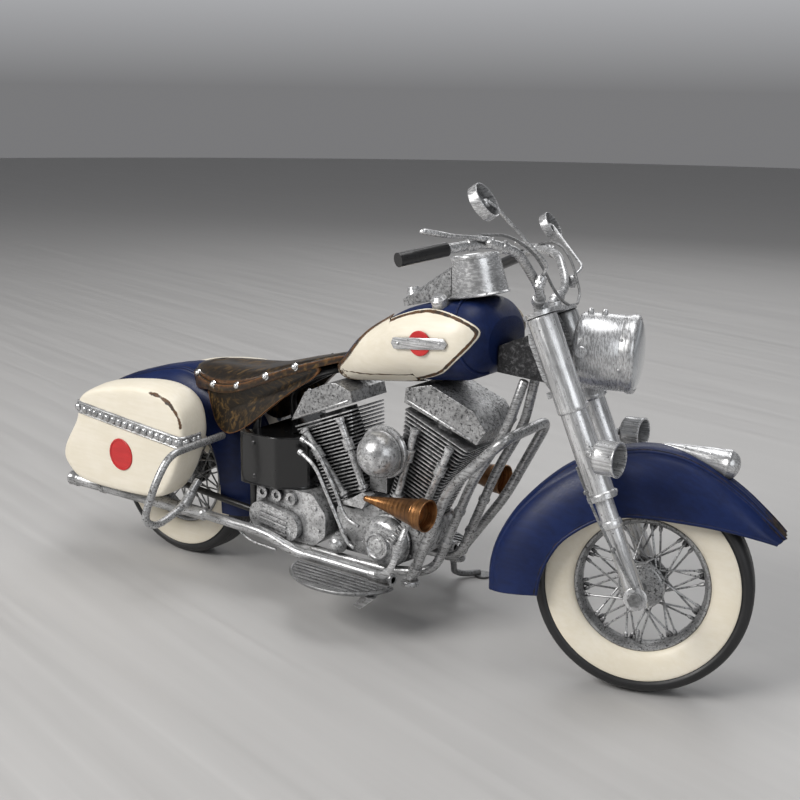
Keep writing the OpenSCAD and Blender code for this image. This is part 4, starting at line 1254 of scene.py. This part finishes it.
def cylinders():
    """Finned barrels: thin fins with rounded corners, wider towards the head."""
    for name, base, top in (("cylinder_rear", (121, 55), (104.6, 96)),
            ("cylinder_front", (153.6, 56.5), (172.2, 101.4))):
        b = Build()
        foot, head = Vector((base[0], 0, base[1])), Vector((top[0], 0, top[1]))
        v = (head - foot).normalized()
        u = Vector((v.z, 0, -v.x))
        h = (head - foot).length
        b.lathe([(9.6, 0), (9.6, h)], foot, v, 40)
        fins = 24
        for i in range(fins):
            t = i / (fins - 1)
            half = (22 + 8 * t if t < 0.55 else 26.4 + 26 * (t - 0.55)) / 2
            wide = 14 - 1.5 * (1 - t)
            z = 1.6 + (h - 3.6) * t
            rings = []
            for dz, cut in ((-0.42, 0.35), (-0.25, 0.0), (0.25, 0.0), (0.42, 0.35)):
                ring = []
                for sx, sy in ((1, 1), (-1, 1), (-1, -1), (1, -1)):
                    for k in range(4):
                        a = pi / 2 * k / 3 + {(1, 1): 0, (-1, 1): 1, (-1, -1): 2,
                            (1, -1): 3}[(sx, sy)] * pi / 2
                        q = (sx * (half - cut - 1.8) + 1.8 * cos(a), sy * (wide - cut - 1.8) + 1.8 * sin(a))
                        ring.append(foot + u * q[0] + Vector((0, q[1], 0)) + v * (z + dz))
                rings.append(ring)
            b.skin(rings)
        b.make(name + "_fins", wash_silver, name, "wash_silver", 40)


cylinders()


def tubes():
    g = Build()
    loop = [(163, -19.5, 27), (183, -19.5, 76), (210.4, -19, 103), (211.4, 19, 104.5), (190, 19.5, 64),
        (163, 19.5, 27)]
    g.tube(bend(loop, 8), 2.4, 24)
    for s in (-1, 1):
        g.lathe([(4.2, 0), (4.4, 0.4), (4.4, 1.7), (4.0, 2.3)], (163, s * 20, 25), (0, 0, 1), 32)
        g.lathe([(2.9, -1.2), (3.0, -0.6), (3.0, 1.0), (2.9, 1.6)],
            Vector((163, s * 19.5, 27)).lerp(Vector((183, s * 19.5, 76))
                if s < 0 else Vector((190, 19.5, 64)), 0.12), (0.4, 0, 0.9), 24)
    g.make("engine_guard_tube", pipe_steel, "engine_guard", "pipe_steel")

    for s, name in ((-1, "exhaust_right"), (1, "exhaust_left")):
        b = Build()
        y = s * 26.5
        b.tube(bend([(158, y, 28), (98, y, 28), (83, s * 29, 34.6), (41, s * 31, 36.6)], 8), 2.6, 24)
        b.lathe([(2.7, 0), (3.1, 0.2), (3.2, 1.0), (3.1, 1.6), (3.1, 11.5), (3.2, 12), (3.1, 12.8),
            (2.7, 13)], (145, y, 28), (1, 0, 0), 32)
        start, end = Vector((42, s * 31, 36.6)), Vector((-53, s * 37.2, 39.4))
        axis = (end - start).normalized()
        length = (end - start).length
        b.lathe(
            [(2.6, -1.5), (3.1, -0.6), (3.45, 0.4), (3.5, 1.2), (3.3, 1.8), (3.3, length - 7.2),
                (3.6, length - 6.6),
             (3.9, length - 6.0), (3.95, length - 4.8), (3.7, length - 4.2), (3.7, length - 1.4),
             (3.95, length - 0.9),
             (3.9, length - 0.2), (3.5, length), (2.9, length - 0.1), (2.7, length - 2.5),
             (0.05, length - 2.6)],
            start, axis, 40,
        )
        for t in (0.17, 0.74):
            c = start + axis * length * t
            b.lathe(collar(3.75, 1.4, 0.35, 0.2), c, axis, 32)
            b.bolt(c + Vector((0, s * 3.5, 0.9)), (0, s, 0.25), 1.0, 0.9)
        b.make(name + "_pipe", pipe_steel, name, "pipe_steel", 40)

    b = Build()
    for s in (-1, 1):
        route = [(47, 21.2, 77.5), (46.5, 44, 76.5), (46, 58, 75.5), (44.5, 66, 64), (42, 73, 45),
            (43, 66, 40), (45, 50, 46), (44, 37, 57)]
        b.tube(bend([side(p, s) for p in route], 6.5), 1.9, 20)
        a, c = Vector((45.2, s * 49, 46.8)), Vector((44.5, s * 43, 51.8))
        b.lathe([(2.2, -0.4), (2.6, 0), (2.65, 1), (2.5, 1.4), (2.5, (c - a).length - 1),
            (2.65, (c - a).length - 0.5), (2.2, (c - a).length + 0.2)], a, c - a, 24)
    b.make("bag_guard_tubes", pipe_steel, "bag_guards", "pipe_steel")

    b = Build()
    bar = [(216.6, 16, 160.8), (220, 27, 166), (219, 35, 171), (213, 46, 182), (203, 57, 184.6),
        (192, 69, 181.4), (178, 86, 176)]
    for s in (-1, 1):
        route = bend([side(p, s) for p in bar], 5)
        b.tube(route, 1.95, 24)
        # clamps round the bar
        for at, to, r, half in ((0, 1, 2.75, 2.6), (3, 4, 2.4, 1.5), (4, 5, 2.45, 2.0)):
            p, q = Vector(side(bar[at], s)), Vector(side(bar[to], s))
            axis = (q - p).normalized()
            c = p.lerp(q, 0.45)
            b.lathe(collar(r, half), c, axis, 28)
            b.bolt(c + Vector((0.6, 0, r * 0.95)), (0.2, 0, 1), 0.8, 0.7)
    b.make("handlebar_tube", bright_steel, "handlebar", "bright_steel", body="front_fork", put=steered)

    b = Build()
    for s in (-1, 1):
        route = bend([side(p, s)
            for p in ((204.5, 60, 185.8), (200, 64.5, 186), (192, 73.5, 186), (184.5, 83, 186.8))], 3)
        k = len(route)
        radii = [1.15 - 0.35 * sin(pi * i / (k - 1)) for i in range(k)]
        b.tube(route, radii, 14)
        b.lathe([(1.2, -0.2), (1.45, 0.4), (1.3, 1.0)], Vector(side((184.7, 82.8, 186.3), s)), (0, 0, 1), 20)
        a, c = Vector(side((205, 61.4, 185.4), s)), Vector(side((205.8, 60.4, 183.8), s))
        b.lathe([(1.5, -0.6), (1.9, -0.2), (1.9, (c - a).length), (1.5, (c - a).length + 0.4)], a, c - a, 20)
        b.bolt(a, a - c, 0.9, 0.5)
    b.make("lever_arms", bright_steel, "levers", "bright_steel", body="front_fork", put=steered)

    b = Build()
    for s in (-1, 1):
        route = [(200, 62, 187), (210, 52, 187.5), (219, 41, 181), (226, 31, 168), (228, 20, 163.5),
            (229, 11, 161.8)]
        b.tube([Vector(side(p, s)) for p in spline(route, 8)], 0.6, 10)
    b.tube([Vector(p)
        for p in spline([(242, -33.4, 98), (251, -33.2, 80), (263, -32, 60), (269.5, -31.2, 50.6)], 8)],
            0.6, 10)
    for z, x in ((88, 246.6), (66, 259.6)):
        b.lathe(collar(1.1, 0.8, 0.2), (x, -33.2 + (0.5 if z < 70 else 0), z), (0.55, 0, -0.83), 14)
    b.make("cable_runs", cable_mat, "control_cables", "dark_steel", body="front_fork", put=steered)

    b = Build()
    b.tube(bend([(99, -20.3, 84), (107, -20.3, 81), (119, -20.3, 62), (124, -20.3, 50), (133, -20.3, 47)],
        6), 0.9, 14)
    b.tube(bend([(99, -22.3, 78), (108, -22.3, 73), (121, -22.3, 50), (127.5, -22.3, 38),
        (132, -22.3, 36.5)], 6), 0.9, 14)
    b.tube(bend([(50, -24, 35.5), (66, -24, 25.8), (84, -24, 25)], 6), 0.7, 12)
    b.lathe([(1.1, -0.8), (1.4, -0.5), (1.4, 1.4), (1.1, 1.7)], (98.4, -20.3, 84.2), (1, 0, -0.3), 16)
    b.lathe([(1.1, -0.8), (1.4, -0.5), (1.4, 1.4), (1.1, 1.7)], (98.4, -22.3, 78.2), (1, 0, -0.4), 16)
    b.make("oil_pipe_runs", wash_silver, "wire_lines", "dark_steel")

    b = Build()
    route = bend([(166, -26.4, 58.5), (164.5, -31, 49), (163, -34, 39), (159, -34, 33),
        (152.5, -32.6, 30.6)], 4)
    rings = []
    p = [Vector(q) for q in route]
    for i, q in enumerate(p):
        t = (p[min(i + 1, len(p) - 1)] - p[max(i - 1, 0)]).normalized()
        across = t.cross(Vector((0, 1, 0.2))).normalized()
        thick = t.cross(across).normalized()
        w = 2.1 if i > len(p) * 0.7 else 1.6
        rings.append([q + across * w * cos(a) + thick * 0.85 * sin(a)
            for a in (2 * pi * k / 12 + 0.26 for k in range(12))])
    b.skin(rings)
    b.lathe([(2.0, -1.0), (2.3, -0.6), (2.3, 0.8), (1.9, 1.2)], (165.6, -27.4, 57.5), (0.1, -1, 0.2), 20)
    b.make("brake_pedal_strap", bright_steel, "brake_pedal", "bright_steel")

    b = Build()
    a, c = Vector((157.4, -29.5, 46.8)), Vector((165.2, -22.8, 58.3))
    v = (c - a).normalized()
    n = v.orthogonal().normalized()
    m = v.cross(n)
    turns, per = 9, 24
    b.tube([a + (c - a) * (i / (turns * per)) + (n * cos(2 * pi * i / per) + m * sin(2 * pi * i / per)) * 2
        for i in range(turns * per + 1)], 0.5, 8)
    b.make("pedal_coil", bright_steel, "pedal_spring", "dark_steel")

    b = Build()
    b.tube(bend([(160, 21.8, 22.9), (145, 46, 6), (146, 53, 2.4), (152, 61, 2.4)], 5), 1.6, 18)
    b.lathe([(4.2, 0), (4.5, 0.25), (4.5, 1.1), (4.2, 1.4)], (153, 62, 0), (0, 0, 1), 32)
    b.make("kickstand_leg", dark_steel, "kickstand", "dark_steel", body="stand")


cable_mat = silver("cable_steel", 0.34, 0.4, 0.6, 0.6)
tubes()

# ------------------------------------------------------------------ lamps, mirrors and fork


def lamps():
    b = Build()
    z = 143
    b.lathe(
        [(0.05, 231.5), (6, 231.6), (10.2, 231.8), (12.4, 232.2), (14.4, 232.9), (15.6, 233.7),
            (16.1, 234.8), (16.2, 236.0),
         (16.2, 251.6), (16.05, 251.8), (16.05, 252.2), (16.2, 252.4), (16.25, 254.6)],
        (0, 0, z), (1, 0, 0), 96,
    )
    for a in range(8):
        t = radians(45 * a + 22)
        b.lathe([(0.7, 0), (0.7, 0.4), (0.4, 0.65)], (252.6, 16.15 * cos(t), z + 16.15 * sin(t)),
            (0, cos(t), sin(t)), 12)
    for s in (-1, 1):
        b.lathe([(2.4, 0), (2.6, 0.3), (2.6, 3.0), (2.2, 3.4)], (237, s * 15.6, z), (0, s, 0), 28)
    for x in (237.5, 243.5):
        b.lathe([(1.3, 0), (1.3, 1.4), (0.9, 2.2), (0.3, 2.4)], (x, -3.2, z + 15.7), (0, -0.2, 1), 16)
    b.make("headlight_drum", drum_steel, "headlight_shell", "bright_steel", 40, body="front_fork",
        put=steered)
    b = Build()
    b.lathe(
        [(16.1, 254.5), (16.7, 254.8), (16.85, 255.6), (16.8, 257.0), (16.4, 258.0), (15.7, 258.4),
            (15.2, 258.2), (15.0, 257.4)],
        (0, 0, z), (1, 0, 0), 96, 0,
    )
    b.lathe([(15.25, 257.2), *dome(15.2, 257.6, 3.3, range(0, 96, 8))], (0, 0, z), (1, 0, 0), 96, 1)
    b.make("headlight_glass", [drum_steel, glass_mat], "headlight_lens", "lamp_glass", 40,
        body="front_fork", put=steered)

    b = Build()
    for s in (-1, 1):
        look = Vector((cos(radians(17)), -sin(radians(17)), 0))
        c = Vector((258.5, s * 43, 104.3)) + look * 1.5
        b.lathe(
            [(0.05, -10.1), (4.2, -10.0), (6.0, -9.6), (6.8, -8.8), (7.0, -7.8), (7.0, -1.2), (7.25, -0.9),
                (7.3, -0.2),
             (7.0, 0.0), (6.4, -0.1), (6.2, -1.0), (6.1, -5.5)],
            c, look, 48, 0,
        )
        b.lathe([(6.15, -5.4), (6.15, -5.2), (4.0, -5.6), (2.0, -6.4), (0.05, -6.6)], c, look, 40, 1)
        b.lathe([(1.5, -6.4), (1.5, -5.4), (1.1, -4.6), (0.05, -4.2)], c, look, 20, 2)
        end = c - look * 10.2 - Vector((0.9, 0, 0.4))
        b.tube([end, (245.6, s * 33.4, 104)], 1.6, 18)
        b.bolt(end + Vector((0, 0, 1.6)), (0, 0, 1), 1.0, 0.8)
    b.make("passing_lamp_cups", [bright_steel, dark_steel, glass_mat], "passing_lamps", "bright_steel", 40,
        body="front_fork", put=steered)

    b = Build()
    start, end = Vector((272, 0, 106.6)), Vector((304.6, 0, 100))
    axis = (end - start).normalized()
    profile = [(0.5, 0), (1.2, 2), (2.6, 8), (4.0, 14.5), (5.3, 21), (6.1, 25.4), (6.5, 27.2), (6.7, 27.5),
        (6.7, 28.2), (6.3, 28.4), (6.1, 28.6)]
    profile += dome(6.0, 28.7, 4.5, range(9, 99, 9))
    b.lathe(profile, start, axis, 56)
    for s in (-1, 1):
        for t in (10, 21):
            r = 3.1 if t == 10 else 5.2
            b.lathe([(0.6, -0.2), (0.6, 0.3), (0.3, 0.5)],
                start + axis * t + Vector((0, s * r * 0.8, r * 0.6)), (0, s * 0.8, 0.6), 10)
    b.make("fender_lamp_body", bright_steel, "fender_lamp", "bright_steel", 40, body="front_fork",
        put=steered)

    b = Build()
    for s, c, r in ((-1, Vector((203.2, -69, 199.4)), 7.3), (1, Vector((203.4, 68.6, 195.6)), 6.7)):
        face = Vector((0.81, -0.19, 0.56)).normalized()
        b.lathe(
            [(r - 1.6, -2.2), (r - 0.5, -2.15), (r - 0.05, -1.8), (r, -1.2), (r, 1.6), (r - 0.05, 2.0),
                (r - 0.2, 2.2), (r - 0.4, 2.1),
             (r - 0.45, 1.6), (r - 0.5, -1.6)],
            c, face, 56, 0,
        )
        b.lathe([(r - 0.5, -1.8), (r - 0.55, -1.3), (r - 1.3, -1.5), (0.05, -1.6)], c, face, 48, 2)
        b.lathe([(r - 1.3, -1.5), (r - 1.5, -1.2), (0.05, -1.15)], c, face, 48, 1)
        b.lathe([(1.9, -1.0), (1.9, -0.4), (1.5, 0.1)], c + Vector((1.2, -s * 1.6, 0.2)), face, 24, 0)
        b.tube(bend([(222, s * 37.8, 173.2), (225, s * 43, 177.5), (207, s * 63, c[2] - 1.6),
            tuple(c + Vector((1.2, -s * 1.6, 0.2)) + face * 0.2)], 3), 0.75, 12)
        a = Vector((221, s * 38.2, 168.4))
        b.lathe([(1.7, -0.3), (2.2, 0), (2.2, 4.6), (1.5, 5.2)], a, (0.2, -s * 0.12, 1), 24)
        b.lathe([(2.5, 1.6), (2.5, 2.6)], a, (0.2, -s * 0.12, 1), 6)
    b.make("mirror_cups", [bright_steel, mirror_mat, dark_steel], "mirrors", "bright_steel", 40,
        body="front_fork", put=steered)

    b = Build()
    for s in (-1, 1):
        y = s * 26
        b.lathe(
            [(2.6, -5.2), (3.6, -5.0), (3.9, -4.4), (3.9, 29.6), (4.3, 29.9), (4.6, 30.5), (4.6, 32.4),
                (4.3, 33.0), (3.85, 33.2),
             (3.85, 41.9), (5.9, 42.0), (6.35, 42.4), (6.4, 44.4), (6.1, 44.9), (5.7, 45.2), (5.6, 79.6),
             (6.2, 80.0), (6.45, 80.6),
             (6.45, 82.2), (6.35, 82.7), (6.35, 119.6), (6.1, 120.5), (5.5, 120.9)],
            (0, y, 0), (0, 0, 1), 56,
        )
        b.lathe([(4.5, 0), (4.8, 0.3), (4.8, 0.9), (4.4, 1.1)], (0, y + s * 3.3, 0), (0, s, 0), 32)
        b.bolt((0, y + s * 4.2, 0), (0, s, 0), 2.2, 1.2)
        for z, x in ((44, 5.9), (81.4, 6.2)):
            b.bolt((x, y, z), (1, 0, 0), 0.9, 0.8)
        b.lathe([(2.8, 120.7), (2.8, 121.9), (2.2, 122.4)], (0, y, 0), (0, 0, 1), 6)
    b.make("fork_leg_tubes", leg_steel, "fork_legs", "bright_steel", 38, body="front_fork", put=forked)

    b = Build()
    for s in (-1, 1):
        # pale side plates from the lower yoke up to the lamp
        outline = [(-7.0, 88), (-9.5, 96), (-10, 112), (-8.0, 120.5), (-1.0, 120.5), (0.5, 112), (0.5, 96),
            (-1.5, 88)]
        rings = [[(x, s * (18.2 + d), z) for x, z in outline] for d in (0, 0.9)]
        b.skin(rings)
        b.bolt((-5, s * 19.1, 104), (0, s, 0), 1.1, 0.8)
        b.bolt((-4.5, s * 19.1, 94), (0, s, 0), 0.9, 0.7)
    b.make("fork_side_plates", bright_steel, (), "bright_steel", 30, body="front_fork", put=forked)

    b = Build()
    for s in (-1, 1):
        o = Vector((146, s * 33, 67.5))
        turn = Matrix.Rotation(radians(2), 3, "Y")
        axis = turn @ Vector((1, 0, 0))
        b.lathe(
            [(0.05, 0), (1.2, 0.1), (1.5, 0.6), (1.5, 1.6), (1.35, 1.9), (3.9, 15.5), (6.45, 29.2),
                (6.8, 29.5), (7.1, 30.0),
             (7.2, 31.0), (7.25, 34.4), (7.5, 34.8), (7.4, 35.2), (7.0, 35.2), (6.7, 34.4), (6.2, 30.5),
             (5.6, 29.4), (3.0, 20),
             (0.05, 14)],
            o, axis, 56,
        )
        b.lathe(collar(6.6, 0.5, 0.35, 0.2), o + axis * 29.2, axis, 40)
        b.tube([(160, s * 31, 67), (160, s * 20.2, 66)], 1.0, 14)
    b.make("horn_trumpets", brass_mat, "horns", "horn_brass", 40)


lamps()

# ------------------------------------------------------------------ engine details


def engine():
    b = Build()
    y = -14.0
    # cam cover: a stepped round drum with a raised disc, a ribbed rim and bolts
    b.lathe(
        [(12.4, 0.2), (12.6, 0.6), (12.6, 1.8), (12.2, 2.2), (12.2, 4.6), (11.9, 5.4), (11.2, 6.4),
            (10.2, 7.4), (8.6, 8.0), (7.4, 8.15)],
        (147, y, 42), (0, -1, 0), 64,
    )
    b.lathe(
        [(7.4, 7.9), (7.4, 8.6), (6.6, 8.8), (6.6, 10.2), (6.3, 10.8), (5.6, 11.0), (5.2, 10.7),
            (5.0, 10.2), (3.6, 10.2), (3.2, 10.6), (0.05, 10.7)],
        (146.5, y, 41.5), (0, -1, 0), 56,
    )
    for i in range(10):
        a = 2 * pi * i / 10 + 0.2
        b.bolt((147 + 10.9 * cos(a), y - 6.3, 42 + 10.9 * sin(a)), (0.25 * cos(a), -1, 0.25 * sin(a)), 0.85,
            0.8)
    b.make("cam_cover_drum", wash_silver, "cam_cover", "wash_silver", 36)

    b = Build()
    b.lathe([(0.05, -4.7)] + [(4.7 * sin(t), -4.7 * cos(t))
        for t in (radians(9 * k) for k in range(1, 20))] + [(0.05, 4.7)], (119.5, -19, 35), (0, 0, 1), 40)
    b.lathe([(2.2, 3.9), (2.2, 5.0), (1.7, 5.4)], (119.5, -19, 35), (0, 0.3, 1), 6)
    b.make("filter_ball_body", wash_silver, "filter_ball", "wash_silver", 40)

    # air cleaner: backing ring, ribbed ring and a polished dome
    b = Build()
    y = -19
    b.lathe([(12.2, 0.0), (12.6, 0.4), (12.6, 2.0), (12.2, 2.5), (10.8, 2.5)], (147.5, y, 87), (0, -1, 0), 64)
    b.lathe([(10.2, 2.4), (10.85, 2.7), (10.85, 3.4), (10.5, 3.7), (10.85, 4.0), (10.85, 5.1), (10.4, 5.4)],
        (147.5, y, 86.5), (0, -1, 0), 64)
    b.lathe([*dome(11.1, 4.0, 11.1, range(7, 91, 6)), (0.05, 15.1)], (147.5, y, 86.5), (0, -1, 0), 64)
    b.lathe([(4, 0), (4, -4.6)], (143, -19, 85.5), (0, -1, 0), 32)
    b.make("air_cleaner_dome", wash_silver, "air_cleaner", "wash_silver", 36)

    # rocker covers' seams and bolts, crankcase bolts, pushrod caps, gearbox screws and two round plates on
    # the left side
    b = Build()
    for pts, face_y in (
        (((91, 95.5), (98, 107), (117, 110.8)), 14), (((160, 112.5), (173, 115.3), (189, 108.5)), 14),
    ):
        for s in (-1, 1):
            for x, z in pts:
                b.bolt((x, s * face_y, z), (0, s, 0), 1.0, 0.8)
    for s in (-1, 1):
        for a, c in (((88, 91.5), (121.5, 105.8)), ((156, 111.5), (191.5, 98.5))):
            b.tube([(a[0], s * 14.0, a[1]), (c[0], s * 14.0, c[1])], 0.6, 8)
    for x, z in ((123, 35), (134, 33.5), (159, 36.5), (163, 49)):
        b.bolt((x, -14, z), (0, -1, 0), 1.0, 0.9)
    for (x0, z0), (x1, z1) in (((96.5, 88), (122.5, 58.5)), ((118.5, 97), (133.5, 64)),
            ((162, 99), (152.5, 64)), ((181, 93.5), (168, 63))):
        p, q = Vector((x0, -16.6, z0)), Vector((x1, -16.6, z1))
        axis = (q - p).normalized()
        b.lathe([(1.8, -0.4), (2.2, -0.1), (2.2, 1.4), (1.7, 1.8)], p, axis, 24)
        length = (q - p).length
        for t in (0.28, 0.42):
            b.lathe(collar(2.8, 0.5, 0.4, 0.2), p + axis * length * t, axis, 28)
        b.lathe([(1.9, 0), (2.6, 0.4), (2.6, 1.6), (1.9, 2.2)], p + axis * (length - 3.0), axis, 24)
    for x, z in ((69.5, 33.5), (69.5, 46), (108, 39), (106, 50)):
        b.bolt((x, -19.8, z), (0, -1, 0), 1.0, 0.8)
    for i in range(6):
        x = 80 + 14 * i
        for z in (33.5, 52):
            b.bolt((x, 23, z), (0, 1, 0), 1.0, 0.8)
    b.lathe([(9.5, 0), (9.8, 0.4), (9.6, 1.1), (8.8, 1.3), (8.4, 0.9), (3.2, 0.9), (3.0, 1.5), (0.05, 1.6)],
        (147, 22.9, 42.5), (0, 1, 0), 56)
    b.lathe([(8.2, 0), (8.4, 0.4), (8.2, 1.0), (7.4, 1.2), (7.0, 0.8), (0.05, 0.9)], (82, 22.9, 42.5),
        (0, 1, 0), 56)
    b.make("engine_bolts", wash_silver, (), "wash_silver", 34)

    # oil tank seams and bolts
    b = Build()
    for s in (-1, 1):
        route = bend([(66, s * 26.4, 83.2), (85.5, s * 25.8, 83.2), (97.5, s * 14.8, 83.2),
            (98, s * 8, 83.2)], 4)
        b.tube(route, 0.6, 8)
        b.tube([q - Vector((0, 0, 25.4)) for q in route], 0.6, 8)
        b.bolt((72, s * 26.4, 79), (0, s, 0), 0.9, 0.7)
        b.bolt((72, s * 26.4, 62), (0, s, 0), 0.9, 0.7)
    b.make("oil_tank_seams", gloss_black, (), "gloss_black")

    # footboard rolled edges
    for s in (-1, 1):
        e = Build()
        route = []
        for k in range(0, 41):
            a = pi * k / 40
            route.append(Vector((132 + 28 * cos(a), s * (30 + 21 * sin(a)), 25.6)))
        e.tube(route, 0.95, 12)
        e.tube([(104, s * 30.2, 25.6), (160, s * 30.2, 25.6)], 0.8, 10)
        e.make("footboard_edge_" + ("right" if s < 0 else "left"), dark_steel, (), "dark_steel")


engine()
